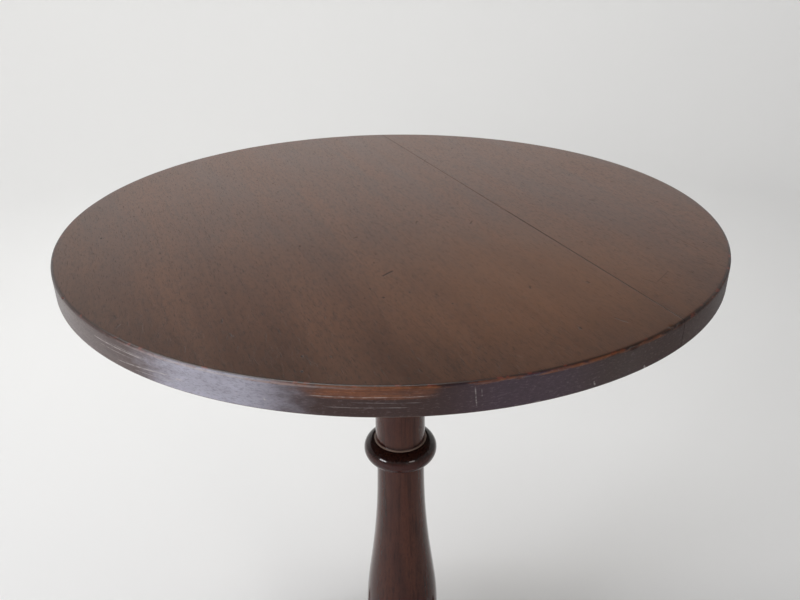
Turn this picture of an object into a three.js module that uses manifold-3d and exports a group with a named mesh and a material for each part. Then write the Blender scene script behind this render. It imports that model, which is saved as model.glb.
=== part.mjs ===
// A round tilt-top tripod table in solid mahogany, in millimetres, +Z up.
//
// The origin is on the floor, under the middle of the top. The top is two boards glued edge to
// edge, with the grain along X. Two bearers cross the grain on its underside, and turn on two pins
// at the back (+Y) end of the block that is wedged on the column. A brass catch at the front (-Y)
// end of the block holds the top level. With its bolt drawn back, the front edge of the top swings
// up about the pins until the top stands upright behind the column. Three cabriole legs are
// dovetailed into the foot of the column, and an iron plate ties them together from below.
//
// Every piece is drawn at rest: top level, catch bolt drawn back. The pieces are drawn about the
// column's axis, and the whole table is then moved so that the middle of the top is the origin.

import * as THREE from "three";
import { mergeVertices } from "three/addons/utils/BufferGeometryUtils.js";
import Module from "manifold-3d";

const wasm = await Module();
wasm.setup();

// ---------------------------------------------------------------------------------------------
// Driving dimensions
// ---------------------------------------------------------------------------------------------

const FIT = 0.3; // gap between two pieces that are cut to each other
const CUT = 1; // how far a cutting solid runs past the face it opens

const TABLE_HEIGHT = 720;

const TOP = {
  diameter: 600,
  thickness: 22.5,
  upperRound: 2.2, // worn upper arris
  lowerRound: 1.5,
  forward: 6.5, // middle of the top, in front of the column's axis
  seamOffset: 102, // glue joint between the two boards, behind the middle of the top
};

const BEARER = {
  width: 42,
  depth: 30,
  rimInset: 38, // from its outer corner to the rim of the top
  taperLength: 50, // the ends are planed thinner over this length
  endDepth: 13,
  sidePlay: 1, // between a bearer and the block
};

const BLOCK = {
  width: 164, // along the pins
  front: 85, // from the column axis to the front face
  thickness: 28,
  topGap: 0.5, // under the boards
  chamfer: 7, // along the lower edges
};

const PIVOT = {
  radius: 8,
  behindColumn: 71, // from the column axis to the pin axis
  inBlock: 22,
  inBearer: 28,
  running: 0.35, // radial clearance of a pin in its bearer
};

const COLUMN = {
  tenonRadius: 17,
  collarRadius: 31, // under the block
  shaftTopRadius: 25.4,
  shaftRadius: 27.4, // where the shaft stands on the ring
  ringHeight: 444.5, // centre of the ring above the floor
  ringRadius: 12.9, // half round section of the ring
  neckRadius: 26.4, // under the ring
  vaseRadius: 43.4,
  vaseHeight: 202, // widest part of the vase above the floor
  wristRadius: 26, // waist under the vase
  drumRadius: 36,
  drumTop: 144,
  drumBottom: 62,
};

const WEDGE = { thickness: 3, tip: 1.4, depth: 20, width: 30 };

const LEG = {
  count: 3,
  flat: 33, // column axis to the flat that the leg seats on
  topBelowDrum: 8, // from the top of the drum down to the top of the leg
  reach: 238, // column axis to the centre of the pad foot
  padRadius: 26,
  padHeight: 12,
  seat: 23, // level stretch under the leg that the iron plate covers
};

const DOVETAIL = { mouth: 15, root: 23, depth: 13, topShoulder: 12 };

const SPIDER = { thickness: 2.5, armWidth: 18, armLength: 58, hubRadius: 24, hubScrews: 16 };

const CATCH = {
  plateWidth: 46,
  plateLength: 62,
  plateThickness: 2,
  blockGap: 3, // between the catch and the face of the block
  caseWidth: 19,
  caseLength: 52,
  wall: 1.6,
  play: 0.4, // between the bolt and its case
  boltWidth: 14,
  boltHeight: 8,
  boltLength: 37,
  noseWidth: 12,
  noseHeight: 5,
  noseLength: 12,
  noseBevel: 4,
  travel: 9,
  knobStem: 2.2,
  knobRadius: 7,
  knobDrop: 12, // how far the finger knob hangs below the case
  knobSetback: 17.4, // from the front of the bolt's body to the knob
};

const LEAF = { length: 24, width: 8, bow: 1.5, thickness: 0.4 }; // spring that steadies the bolt

const KEEP = { width: 38, height: 13, thickness: 2, screwSpan: 27, mortiseDepth: 10, clearance: 0.7 };

const BEARER_SCREW = { head: 4.8, shank: 2.4, headHeight: 2.8, length: 43 };
const CATCH_SCREW = { head: 3.1, shank: 1.5, headHeight: 1.8, length: 11 };
const KEEP_SCREW = { head: 2.6, shank: 1.3, headHeight: 1.5, length: 12 };
const SPIDER_SCREW = { head: 3.8, shank: 1.9, headHeight: 2.2, length: 20 };

const SEGMENTS = { top: 120, column: 32, leg: 20, legRun: 20, pin: 24, screw: 12, pad: 28 };
const CURVE_STEPS = { LineCurve: 1, EllipseCurve: 6, CubicBezierCurve: 8, QuadraticBezierCurve: 4 };

// ---------------------------------------------------------------------------------------------
// Positions that follow from them
// ---------------------------------------------------------------------------------------------

const topRadius = TOP.diameter / 2;
const underside = TABLE_HEIGHT - TOP.thickness;
const blockTop = underside - BLOCK.topGap;
const blockBottom = blockTop - BLOCK.thickness;
const pivotZ = (blockTop + blockBottom) / 2;
const pivotToUnderside = underside - pivotZ;
// The back of the block is as far behind the pins as the boards are above them, so the boards come
// to rest against it when the top stands upright.
const blockBack = PIVOT.behindColumn + pivotToUnderside - FIT;

const bearerInner = BLOCK.width / 2 + BEARER.sidePlay;
const bearerOuter = bearerInner + BEARER.width;
const bearerHalf = Math.sqrt(topRadius ** 2 - bearerOuter ** 2) - BEARER.rimInset;
const bearerBottom = underside - BEARER.depth;
const bearerMiddle = -TOP.forward;
const seamY = TOP.seamOffset - TOP.forward;

const catchFront = -(BLOCK.front + CATCH.blockGap);
const plateBottom = underside - CATCH.plateThickness;
const boltTop = plateBottom - LEAF.bow - 2 * FIT;
const boltBottom = boltTop - CATCH.boltHeight;
const caseBottom = boltBottom - CATCH.play - CATCH.wall;
const noseTip = catchFront - CATCH.play;
const boltFront = noseTip - CATCH.noseLength;
const boltBack = boltFront - CATCH.boltLength;
const knobY = boltFront - CATCH.knobSetback;
const noseMiddle = boltBottom + CATCH.noseHeight / 2;

// ---------------------------------------------------------------------------------------------
// Solids
// ---------------------------------------------------------------------------------------------

/** A closed three.js geometry as a manifold solid, with its faces turned outwards. */
function solidOf(geometry) {
  const bare = new THREE.BufferGeometry();
  const source = geometry.index ? geometry.toNonIndexed() : geometry;
  bare.setAttribute("position", source.getAttribute("position"));
  const merged = mergeVertices(bare, 1e-4);
  const corners = merged.index.array;
  const kept = [];
  for (let i = 0; i < corners.length; i += 3) {
    const [a, b, c] = corners.slice(i, i + 3);
    if (a !== b && b !== c && c !== a) kept.push(a, b, c);
  }
  const build = (triangles) =>
    new wasm.Manifold(
      new wasm.Mesh({
        numProp: 3,
        vertProperties: new Float32Array(merged.attributes.position.array),
        triVerts: new Uint32Array(triangles),
      }),
    );
  const made = build(kept);
  return made.volume() > 0 ? made : build(kept.reverse());
}

/** A manifold solid as a three.js geometry. */
function geometryOf(solid) {
  const mesh = solid.getMesh();
  const geometry = new THREE.BufferGeometry();
  geometry.setAttribute("position", new THREE.BufferAttribute(mesh.vertProperties, 3));
  geometry.setIndex(new THREE.BufferAttribute(mesh.triVerts, 1));
  geometry.computeVertexNormals();
  return geometry;
}

const cut = (solid, ...tools) => tools.reduce((rest, tool) => rest.subtract(tool), solid);
const join = (solid, ...others) => others.reduce((whole, other) => whole.add(other), solid);

/** A box between two corners. */
function boxSolid([x0, y0, z0], [x1, y1, z1]) {
  const box = new THREE.BoxGeometry(x1 - x0, y1 - y0, z1 - z0);
  box.translate((x0 + x1) / 2, (y0 + y1) / 2, (z0 + z1) / 2);
  return solidOf(box);
}

/** A solid turned about Z from an outline of [radius, height] points that starts and ends on Z. */
function turnedSolid(outline, segments) {
  const points = outline.map((p) => (p.isVector2 ? p : new THREE.Vector2(...p)));
  return solidOf(new THREE.LatheGeometry(points, segments).rotateX(Math.PI / 2));
}

/** A round bar along Z, from its lower end at the origin. */
function barSolid(radius, length, segments) {
  return turnedSolid([[0, 0], [radius, 0], [radius, length], [0, length]], segments);
}

/** A prism on a closed outline of [y, z] points, from x0 to x1. */
function prismAlongX(outline, x0, x1) {
  const shape = new THREE.Shape(outline.map((p) => new THREE.Vector2(...p)));
  const prism = new THREE.ExtrudeGeometry(shape, { depth: x1 - x0, bevelEnabled: false });
  // The outline's own axes become Y and Z, and the extrusion runs along X.
  prism.applyMatrix4(new THREE.Matrix4().makeBasis(
    new THREE.Vector3(0, 1, 0), new THREE.Vector3(0, 0, 1), new THREE.Vector3(1, 0, 0)));
  return solidOf(prism.translate(x0, 0, 0));
}

/** Points of an arc from one angle to another, in degrees, without its first point. */
function arc(cx, cy, radius, from, to, steps) {
  return Array.from({ length: steps }, (_, i) => {
    const angle = THREE.MathUtils.degToRad(from + ((to - from) * (i + 1)) / steps);
    return [cx + radius * Math.cos(angle), cy + radius * Math.sin(angle)];
  });
}

/** The rotation that carries +Z onto a direction. */
function facing(direction) {
  const turn = new THREE.Quaternion();
  return turn.setFromUnitVectors(new THREE.Vector3(0, 0, 1), new THREE.Vector3(...direction));
}

/** The same solid moved: turned from +Z onto a direction, then set down at a place. */
function placed(solid, place, direction = [0, 0, 1]) {
  const move = new THREE.Matrix4().compose(
    new THREE.Vector3(...place), facing(direction), new THREE.Vector3(1, 1, 1));
  return solid.transform(move.elements);
}

/** A solid turned about Z by an angle in radians. */
function spun(solid, angle) {
  return solid.transform(new THREE.Matrix4().makeRotationZ(angle).elements);
}

// ---------------------------------------------------------------------------------------------
// Materials and the scene graph
// ---------------------------------------------------------------------------------------------

const materials = {
  mahogany: new THREE.MeshStandardMaterial({ color: 0x4a2a20, roughness: 0.35, metalness: 0 }),
  oak: new THREE.MeshStandardMaterial({ color: 0x6b4a32, roughness: 0.7, metalness: 0 }),
  brass: new THREE.MeshStandardMaterial({ color: 0xa98444, roughness: 0.4, metalness: 1 }),
  steel: new THREE.MeshStandardMaterial({ color: 0x6d6a66, roughness: 0.45, metalness: 1 }),
  iron: new THREE.MeshStandardMaterial({ color: 0x34302d, roughness: 0.7, metalness: 1 }),
};

const table = new THREE.Group();

/** Adds one named piece, drawn in its own frame and then turned and placed. */
function addPiece(name, solid, material, place = [0, 0, 0], direction = [0, 0, 1]) {
  const mesh = new THREE.Mesh(geometryOf(solid), material);
  mesh.name = name;
  mesh.position.set(...place);
  mesh.quaternion.copy(facing(direction));
  table.add(mesh);
}

// ---------------------------------------------------------------------------------------------
// Screws: a piece and the hole it needs, both with the head's face at the origin, driven along +Z
// ---------------------------------------------------------------------------------------------

const SLOT = { width: 0.9, depth: 1.1 };
const HEAD_RIM = 0.5; // straight rim of a countersunk head

function screwSolid({ head, shank, headHeight, length }) {
  const outline = [
    [0, 0],
    [head, 0],
    [head, HEAD_RIM],
    [shank, headHeight],
    [shank, length - 2 * shank],
    [0, length],
  ];
  const slot = boxSolid([-head - CUT, -SLOT.width / 2, -CUT], [head + CUT, SLOT.width / 2, SLOT.depth]);
  return cut(turnedSolid(outline, SEGMENTS.screw), slot);
}

function screwHole({ head, shank, headHeight, length }) {
  const outline = [
    [0, -CUT],
    [head + FIT, -CUT],
    [head + FIT, HEAD_RIM + FIT],
    [shank + FIT, headHeight + FIT],
    [shank + FIT, length + FIT],
    [0, length + FIT],
  ];
  return turnedSolid(outline, SEGMENTS.screw);
}

/** Every screw with its places; a place is [x, y, z] of the head's face. */
const outerScrew = bearerHalf - BEARER.taperLength - 20;
const bearerScrewYs = [
  bearerMiddle - outerScrew,
  bearerMiddle - outerScrew * 0.42,
  PIVOT.behindColumn - PIVOT.radius - 36,
  bearerMiddle + outerScrew,
];
const bearerScrewX = (bearerInner + bearerOuter) / 2;
const bearerScrewPlaces = [-1, 1].map((side) =>
  bearerScrewYs.map((y) => [side * bearerScrewX, y, bearerBottom]));

const catchScrewX = (CATCH.plateWidth + CATCH.caseWidth) / 4;
const catchScrewInset = 7;
const catchScrewPlaces = [catchFront - catchScrewInset, catchFront - CATCH.plateLength + catchScrewInset]
  .flatMap((y) => [[-catchScrewX, y, plateBottom], [catchScrewX, y, plateBottom]]);

const keepScrewPlaces = [-1, 1].map((side) => [(side * KEEP.screwSpan) / 2, -BLOCK.front, noseMiddle]);

const legAngle = (i) => Math.PI / 2 + (i * 2 * Math.PI) / LEG.count;
const spiderBottom = COLUMN.drumBottom - FIT - SPIDER.thickness;
const armScrewRadius = SPIDER.armLength - SPIDER.armWidth / 2;
const spiderScrewPlaces = Array.from({ length: LEG.count }, (_, i) => {
  const between = legAngle(i) + Math.PI / LEG.count;
  return [
    [armScrewRadius * Math.cos(legAngle(i)), armScrewRadius * Math.sin(legAngle(i)), spiderBottom],
    [SPIDER.hubScrews * Math.cos(between), SPIDER.hubScrews * Math.sin(between), spiderBottom],
  ];
}).flat();

const bearerHoles = bearerScrewPlaces.flat().map((p) => placed(screwHole(BEARER_SCREW), p));
const catchHoles = catchScrewPlaces.map((p) => placed(screwHole(CATCH_SCREW), p));
const keepHoles = keepScrewPlaces.map((p) => placed(screwHole(KEEP_SCREW), p, [0, 1, 0]));
const spiderHoles = spiderScrewPlaces.map((p) => placed(screwHole(SPIDER_SCREW), p));

// ---------------------------------------------------------------------------------------------
// Top: two boards and two bearers
// ---------------------------------------------------------------------------------------------

function addBoards() {
  const { upperRound, lowerRound } = TOP;
  const disc = placed(turnedSolid([
    [0, underside],
    [topRadius - lowerRound, underside],
    ...arc(topRadius - lowerRound, underside + lowerRound, lowerRound, -90, 0, 2),
    [topRadius, TABLE_HEIGHT - upperRound],
    ...arc(topRadius - upperRound, TABLE_HEIGHT - upperRound, upperRound, 0, 90, 4),
    [0, TABLE_HEIGHT],
  ], SEGMENTS.top), [0, -TOP.forward, 0]);
  const far = topRadius + CUT;
  const drilled = cut(disc, ...bearerHoles, ...catchHoles);
  const part = (y0, y1) => drilled.intersect(
    boxSolid([-far, y0, underside - CUT], [far, y1, TABLE_HEIGHT + CUT]));
  addPiece("top_board_wide", part(-TOP.forward - far, seamY - FIT / 2), materials.mahogany);
  addPiece("top_board_narrow", part(seamY + FIT / 2, far), materials.mahogany);
}

function addBearers() {
  const thickEnd = bearerHalf - BEARER.taperLength;
  const side = [
    [-bearerHalf, underside],
    [-bearerHalf, underside - BEARER.endDepth],
    [-thickEnd, bearerBottom],
    [thickEnd, bearerBottom],
    [bearerHalf, underside - BEARER.endDepth],
    [bearerHalf, underside],
  ].map(([y, z]) => [bearerMiddle + y, z]);
  const bore = barSolid(PIVOT.radius + PIVOT.running, PIVOT.inBearer + FIT + CUT, SEGMENTS.pin);
  for (const [i, name] of ["left", "right"].entries()) {
    const sign = i ? 1 : -1;
    const [x0, x1] = [sign * bearerInner, sign * bearerOuter].sort((a, b) => a - b);
    const mouth = [sign * (bearerInner - CUT), PIVOT.behindColumn, pivotZ];
    const bearer = cut(prismAlongX(side, x0, x1), placed(bore, mouth, [sign, 0, 0]), ...bearerHoles);
    addPiece("bearer_" + name, bearer, materials.mahogany);
    bearerScrewPlaces[i].forEach((place, n) =>
      addPiece(`bearer_screw_${name}_${n + 1}`, screwSolid(BEARER_SCREW), materials.steel, place));
  }
}

// ---------------------------------------------------------------------------------------------
// Block, pins and wedge
// ---------------------------------------------------------------------------------------------

function addBlock() {
  const { chamfer, front, width } = BLOCK;
  // The upper back edge is rounded about the pins, so that the boards clear it as they swing.
  const round = blockBack - PIVOT.behindColumn;
  const outline = [
    [-front, blockTop],
    [-front, blockBottom + chamfer],
    [-front + chamfer, blockBottom],
    [blockBack - chamfer, blockBottom],
    [blockBack, blockBottom + chamfer],
    [blockBack, pivotZ],
    ...arc(PIVOT.behindColumn, blockTop - round, round, 0, 90, 6),
  ];
  const tenonHole = placed(
    barSolid(COLUMN.tenonRadius + FIT, BLOCK.thickness + 2 * CUT, SEGMENTS.column),
    [0, 0, blockBottom - CUT]);
  const pinHole = barSolid(PIVOT.radius + FIT, PIVOT.inBlock + FIT + CUT, SEGMENTS.pin);
  const pinHoles = [-1, 1].map((sign) =>
    placed(pinHole, [sign * (width / 2 + CUT), PIVOT.behindColumn, pivotZ], [-sign, 0, 0]));
  const keepSeat = boxSolid(
    [-KEEP.width / 2 - FIT, -front - CUT, noseMiddle - KEEP.height / 2 - FIT],
    [KEEP.width / 2 + FIT, -front + KEEP.thickness + FIT, blockTop + CUT]);
  const halfWidth = CATCH.noseWidth / 2 + KEEP.clearance + FIT;
  const halfHeight = CATCH.noseHeight / 2 + KEEP.clearance + FIT;
  const mortise = boxSolid(
    [-halfWidth, -front - CUT, noseMiddle - halfHeight],
    [halfWidth, -front + KEEP.mortiseDepth, noseMiddle + halfHeight]);
  const block = cut(prismAlongX(outline, -width / 2, width / 2),
    tenonHole, ...pinHoles, keepSeat, mortise, ...keepHoles);
  addPiece("block", block, materials.mahogany);
}

function addPins() {
  const length = PIVOT.inBlock + BEARER.sidePlay + PIVOT.inBearer;
  const nose = 1.5; // the ends are chamfered to start in their bores
  const pin = turnedSolid([
    [0, 0],
    [PIVOT.radius - nose, 0],
    [PIVOT.radius, nose],
    [PIVOT.radius, length - nose],
    [PIVOT.radius - nose, length],
    [0, length],
  ], SEGMENTS.pin);
  for (const [name, sign] of [["left", -1], ["right", 1]]) {
    const inner = sign * (BLOCK.width / 2 - PIVOT.inBlock);
    addPiece("pivot_pin_" + name, pin, materials.oak, [inner, PIVOT.behindColumn, pivotZ], [sign, 0, 0]);
  }
}

function addWedge() {
  const { thickness, tip, depth, width } = WEDGE;
  const outline = [
    [-thickness / 2, blockTop],
    [-tip / 2, blockTop - depth],
    [tip / 2, blockTop - depth],
    [thickness / 2, blockTop],
  ];
  addPiece("tenon_wedge", prismAlongX(outline, -width / 2, width / 2), materials.oak);
}

// ---------------------------------------------------------------------------------------------
// Column
// ---------------------------------------------------------------------------------------------

/** The turned outline from the bottom of the drum to the top of the tenon. */
function columnOutline() {
  const c = COLUMN;
  const path = new THREE.Path();
  const lip = 3; // small flats and fillets between the mouldings
  path.moveTo(0, c.drumBottom);
  path.lineTo(c.drumRadius - lip, c.drumBottom);
  path.lineTo(c.drumRadius, c.drumBottom + lip);
  path.lineTo(c.drumRadius, c.drumTop - lip);
  path.lineTo(c.drumRadius - lip, c.drumTop);
  // Half round collar and cove under the vase.
  const collar = 5;
  path.lineTo(c.wristRadius + collar, c.drumTop);
  path.absarc(c.wristRadius + collar, c.drumTop + collar, collar, -Math.PI / 2, Math.PI / 2, false);
  path.lineTo(c.wristRadius, c.drumTop + 2 * collar);
  path.lineTo(c.wristRadius, c.drumTop + 2 * collar + lip);
  // Vase: a short full belly below its widest part, and a long ogee above it.
  const bellyFoot = c.drumTop + 2 * collar + lip;
  const belly = c.vaseHeight - bellyFoot;
  path.bezierCurveTo(
    c.wristRadius + 8, bellyFoot + 1, c.vaseRadius, c.vaseHeight - belly * 0.6, c.vaseRadius, c.vaseHeight);
  const neckFoot = c.ringHeight - c.ringRadius;
  const ogee = neckFoot - c.vaseHeight;
  path.bezierCurveTo(
    c.vaseRadius, c.vaseHeight + ogee * 0.27, c.neckRadius, neckFoot - ogee * 0.56,
    c.neckRadius, neckFoot);
  // Ring, and the plain shaft above it.
  path.absarc(c.shaftRadius, c.ringHeight, c.ringRadius, -Math.PI / 2, Math.PI / 2, false);
  // Astragal and collar under the block.
  const collarFoot = blockBottom - FIT - 14;
  path.lineTo(c.shaftTopRadius, collarFoot - 16);
  path.absarc(c.shaftTopRadius + 0.5, collarFoot - 12, 4, -Math.PI / 2, Math.PI / 2, false);
  path.lineTo(c.shaftTopRadius, collarFoot - 6);
  path.quadraticCurveTo(c.shaftTopRadius + 1, collarFoot, c.collarRadius - 1.5, collarFoot + 4);
  path.lineTo(c.collarRadius, collarFoot + 6);
  path.lineTo(c.collarRadius, blockBottom - FIT);
  path.lineTo(c.tenonRadius, blockBottom - FIT);
  path.lineTo(c.tenonRadius, blockTop);
  path.lineTo(0, blockTop);
  return path.curves.flatMap((curve) => curve.getPoints(CURVE_STEPS[curve.type]));
}

/** The dovetail of a leg that points along +X, grown by a clearance all round. */
function dovetailSolid(clearance, bottom, top) {
  const inner = LEG.flat - DOVETAIL.depth - clearance;
  // It runs past the face of the flat; a leg buries that end, and a slot leaves through it.
  const outer = LEG.flat + CUT;
  const slope = (DOVETAIL.root - DOVETAIL.mouth) / 2 / DOVETAIL.depth;
  const halfRoot = DOVETAIL.root / 2 + clearance * (1 + slope);
  const halfOuter = halfRoot - slope * (outer - inner);
  const shape = new THREE.Shape([
    new THREE.Vector2(inner, -halfRoot),
    new THREE.Vector2(outer, -halfOuter),
    new THREE.Vector2(outer, halfOuter),
    new THREE.Vector2(inner, halfRoot),
  ]);
  const key = new THREE.ExtrudeGeometry(shape, { depth: top - bottom, bevelEnabled: false });
  return solidOf(key.translate(0, 0, bottom));
}

const legTop = COLUMN.drumTop - LEG.topBelowDrum;
const dovetailTop = legTop - DOVETAIL.topShoulder;

function addColumn() {
  let column = turnedSolid(columnOutline(), SEGMENTS.column);
  const seatTop = legTop + 3;
  const reach = COLUMN.drumRadius + CUT;
  const flat = boxSolid([LEG.flat, -reach, COLUMN.drumBottom - CUT], [reach, reach, seatTop]);
  const slot = dovetailSolid(FIT, COLUMN.drumBottom - CUT, dovetailTop + FIT);
  for (let i = 0; i < LEG.count; i++) {
    column = cut(column, spun(flat, legAngle(i)), spun(slot, legAngle(i)));
  }
  const kerf = boxSolid(
    [-COLUMN.tenonRadius - CUT, -WEDGE.thickness / 2 - FIT, blockTop - WEDGE.depth - FIT],
    [COLUMN.tenonRadius + CUT, WEDGE.thickness / 2 + FIT, blockTop + CUT]);
  addPiece("column", cut(column, kerf, ...spiderHoles), materials.mahogany);
}

// ---------------------------------------------------------------------------------------------
// Legs and the iron plate that ties them
// ---------------------------------------------------------------------------------------------

/** A leg that points along +X: sections between an upper and a lower edge, ending in a pad foot. */
function legSolid() {
  const { reach, seat } = LEG;
  const x0 = LEG.flat + FIT;
  const z0 = COLUMN.drumBottom;
  const run = reach - x0; // the edges are drawn in shares of the run and of the height at the column
  const rise = legTop;
  const upper = new THREE.SplineCurve([
    [x0, legTop],
    [x0 + run * 0.13, rise * 1.008],
    [x0 + run * 0.29, rise * 0.936],
    [x0 + run * 0.46, rise * 0.75],
    [x0 + run * 0.63, rise * 0.5],
    [x0 + run * 0.79, rise * 0.285],
    [x0 + run * 0.91, rise * 0.172],
    [x0 + run * 1.03, rise * 0.115],
  ].map((p) => new THREE.Vector2(...p)));
  const lower = new THREE.SplineCurve([
    [x0, z0],
    [x0 + seat, z0],
    [x0 + seat + run * 0.1, z0 + rise * 0.115],
    [x0 + run * 0.33, z0 + rise * 0.145],
    [x0 + run * 0.45, z0 + rise * 0.065],
    [x0 + run * 0.59, z0 - rise * 0.12],
    [x0 + run * 0.745, rise * 0.125],
    [x0 + run * 0.88, rise * 0.05],
    [x0 + run * 1.01, rise * 0.03],
  ].map((p) => new THREE.Vector2(...p)));
  const widths = new THREE.SplineCurve(
    [32, 34, 38, 39, 35, 29, 25, 24].map((w, i, all) => new THREE.Vector2(i / (all.length - 1), w)));

  const sections = SEGMENTS.legRun;
  const around = SEGMENTS.leg;
  const points = [];
  for (let s = 0; s <= sections; s++) {
    const t = s / sections;
    const [u, l] = [upper.getPoint(t), lower.getPoint(t)];
    const halfWidth = widths.getPoint(t).y / 2;
    // Squarish where the leg meets the column, round at the ankle.
    const power = THREE.MathUtils.lerp(0.42, 0.95, Math.min(1, t * 1.5));
    for (let k = 0; k < around; k++) {
      const angle = (2 * Math.PI * k) / around;
      const up = Math.sign(Math.sin(angle)) * Math.abs(Math.sin(angle)) ** power;
      const across = Math.sign(Math.cos(angle)) * Math.abs(Math.cos(angle)) ** power;
      points.push(
        (u.x + l.x) / 2 + (up * (u.x - l.x)) / 2,
        across * halfWidth,
        (u.y + l.y) / 2 + (up * (u.y - l.y)) / 2);
    }
  }
  const faces = [];
  const at = (s, k) => s * around + (k % around);
  for (let s = 0; s < sections; s++) {
    for (let k = 0; k < around; k++) {
      faces.push(at(s, k), at(s + 1, k), at(s, k + 1), at(s + 1, k), at(s + 1, k + 1), at(s, k + 1));
    }
  }
  for (let k = 1; k < around - 1; k++) {
    faces.push(at(0, 0), at(0, k), at(0, k + 1), at(sections, 0), at(sections, k + 1), at(sections, k));
  }
  const loft = new THREE.BufferGeometry();
  loft.setAttribute("position", new THREE.Float32BufferAttribute(points, 3));
  loft.setIndex(faces);

  const { padRadius, padHeight } = LEG;
  const edge = 3;
  const pad = turnedSolid([
    [0, 0],
    [padRadius - edge, 0],
    ...arc(padRadius - edge, edge, edge, -90, 0, 3),
    [padRadius - 1, padHeight * 0.55],
    [padRadius * 0.72, padHeight * 0.9],
    [padRadius * 0.4, padHeight],
    [0, padHeight],
  ], SEGMENTS.pad);
  return { loft: solidOf(loft), pad: placed(pad, [reach, 0, 0]) };
}

function addLegs() {
  const { loft, pad } = legSolid();
  const key = dovetailSolid(0, COLUMN.drumBottom, dovetailTop);
  const seat = boxSolid(
    [0, -COLUMN.drumRadius, 0], [SPIDER.armLength + FIT, COLUMN.drumRadius, COLUMN.drumBottom]);
  const leg = cut(join(loft, pad, key), seat);
  ["back", "front_left", "front_right"].forEach((name, i) =>
    addPiece("leg_" + name, cut(spun(leg, legAngle(i)), ...spiderHoles), materials.mahogany));
}

function addSpider() {
  const { armWidth, armLength, hubRadius, thickness } = SPIDER;
  let plate = placed(barSolid(hubRadius, thickness, SEGMENTS.pad), [0, 0, spiderBottom]);
  for (let i = 0; i < LEG.count; i++) {
    const arm = join(
      boxSolid([0, -armWidth / 2, spiderBottom], [armScrewRadius, armWidth / 2, spiderBottom + thickness]),
      placed(barSolid(armWidth / 2, thickness, SEGMENTS.pad), [armScrewRadius, 0, spiderBottom]));
    plate = join(plate, spun(arm, legAngle(i)));
  }
  addPiece("spider_plate", cut(plate, ...spiderHoles), materials.iron);
  spiderScrewPlaces.forEach((place, n) =>
    addPiece(`spider_screw_${n + 1}`, screwSolid(SPIDER_SCREW), materials.steel, place));
}

// ---------------------------------------------------------------------------------------------
// Catch and keep
// ---------------------------------------------------------------------------------------------

function addCatch() {
  const c = CATCH;
  const plateBack = catchFront - c.plateLength;
  const plate = boxSolid(
    [-c.plateWidth / 2, plateBack, plateBottom], [c.plateWidth / 2, catchFront, underside]);
  addPiece("catch_plate", cut(plate, ...catchHoles), materials.brass);

  // The case is a cap over the bolt, open towards the plate, with a hole for the nose in front and
  // a slot below for the stem of the knob.
  const caseBack = catchFront - c.caseLength;
  const half = c.caseWidth / 2;
  const shell = boxSolid([-half, caseBack, caseBottom], [half, catchFront, plateBottom]);
  const inside = boxSolid(
    [-half + c.wall, caseBack + c.wall, caseBottom + c.wall],
    [half - c.wall, catchFront - c.wall, plateBottom + CUT]);
  const noseHole = boxSolid(
    [-c.noseWidth / 2 - c.play, catchFront - c.wall - CUT, boltBottom - c.play / 2],
    [c.noseWidth / 2 + c.play, catchFront + CUT, boltBottom + c.noseHeight + c.play]);
  const stemSlot = boxSolid(
    [-c.knobStem - c.play, knobY - c.knobStem - c.play, caseBottom - CUT],
    [c.knobStem + c.play, knobY + c.travel + c.knobStem + c.play, caseBottom + c.wall + CUT]);
  addPiece("catch_case", cut(shell, inside, noseHole, stemSlot), materials.brass);

  // The nose is bevelled below, so that it rides over the keep as the top comes down.
  const boltSide = [
    [boltBack, boltBottom],
    [noseTip - c.noseBevel, boltBottom],
    [noseTip, boltBottom + c.noseHeight - 1],
    [noseTip, boltBottom + c.noseHeight],
    [boltBack, boltBottom + c.noseHeight],
  ];
  const body = boxSolid([-c.boltWidth / 2, boltBack, boltBottom], [c.boltWidth / 2, boltFront, boltTop]);
  const stemHole = placed(barSolid(c.knobStem + FIT, c.boltHeight + 2 * CUT, SEGMENTS.screw),
    [0, knobY, boltBottom - CUT]);
  const bolt = join(body, prismAlongX(boltSide, -c.noseWidth / 2, c.noseWidth / 2));
  addPiece("catch_bolt", cut(bolt, stemHole), materials.brass);

  const drop = caseBottom - c.knobDrop;
  addPiece("catch_knob", turnedSolid([
    [0, 0],
    [c.knobRadius - 2, 0],
    ...arc(c.knobRadius - 2, 2, 2, -90, 0, 2),
    ...arc(c.knobRadius - 2, 3, 2, 0, 60, 2),
    [c.knobStem, c.knobDrop - 5],
    [c.knobStem, boltTop - drop],
    [0, boltTop - drop],
  ], SEGMENTS.pin), materials.brass, [0, knobY, drop]);

  catchScrewPlaces.forEach((place, n) =>
    addPiece(`catch_screw_${n + 1}`, screwSolid(CATCH_SCREW), materials.brass, place));

  // A bowed strip of spring steel on the bolt's back, which keeps it where it is put.
  const middle = (boltBack + boltFront) / 2;
  const leaf = [-1, -0.5, 0, 0.5, 1].map((t) => [
    middle + (t * LEAF.length) / 2, boltTop + FIT + (LEAF.bow - LEAF.thickness) * (1 - t * t)]);
  const over = leaf.map(([y, z]) => [y, z + LEAF.thickness]).reverse();
  addPiece("catch_leaf_spring", prismAlongX([...leaf, ...over], -LEAF.width / 2, LEAF.width / 2),
    materials.steel);
}

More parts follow.
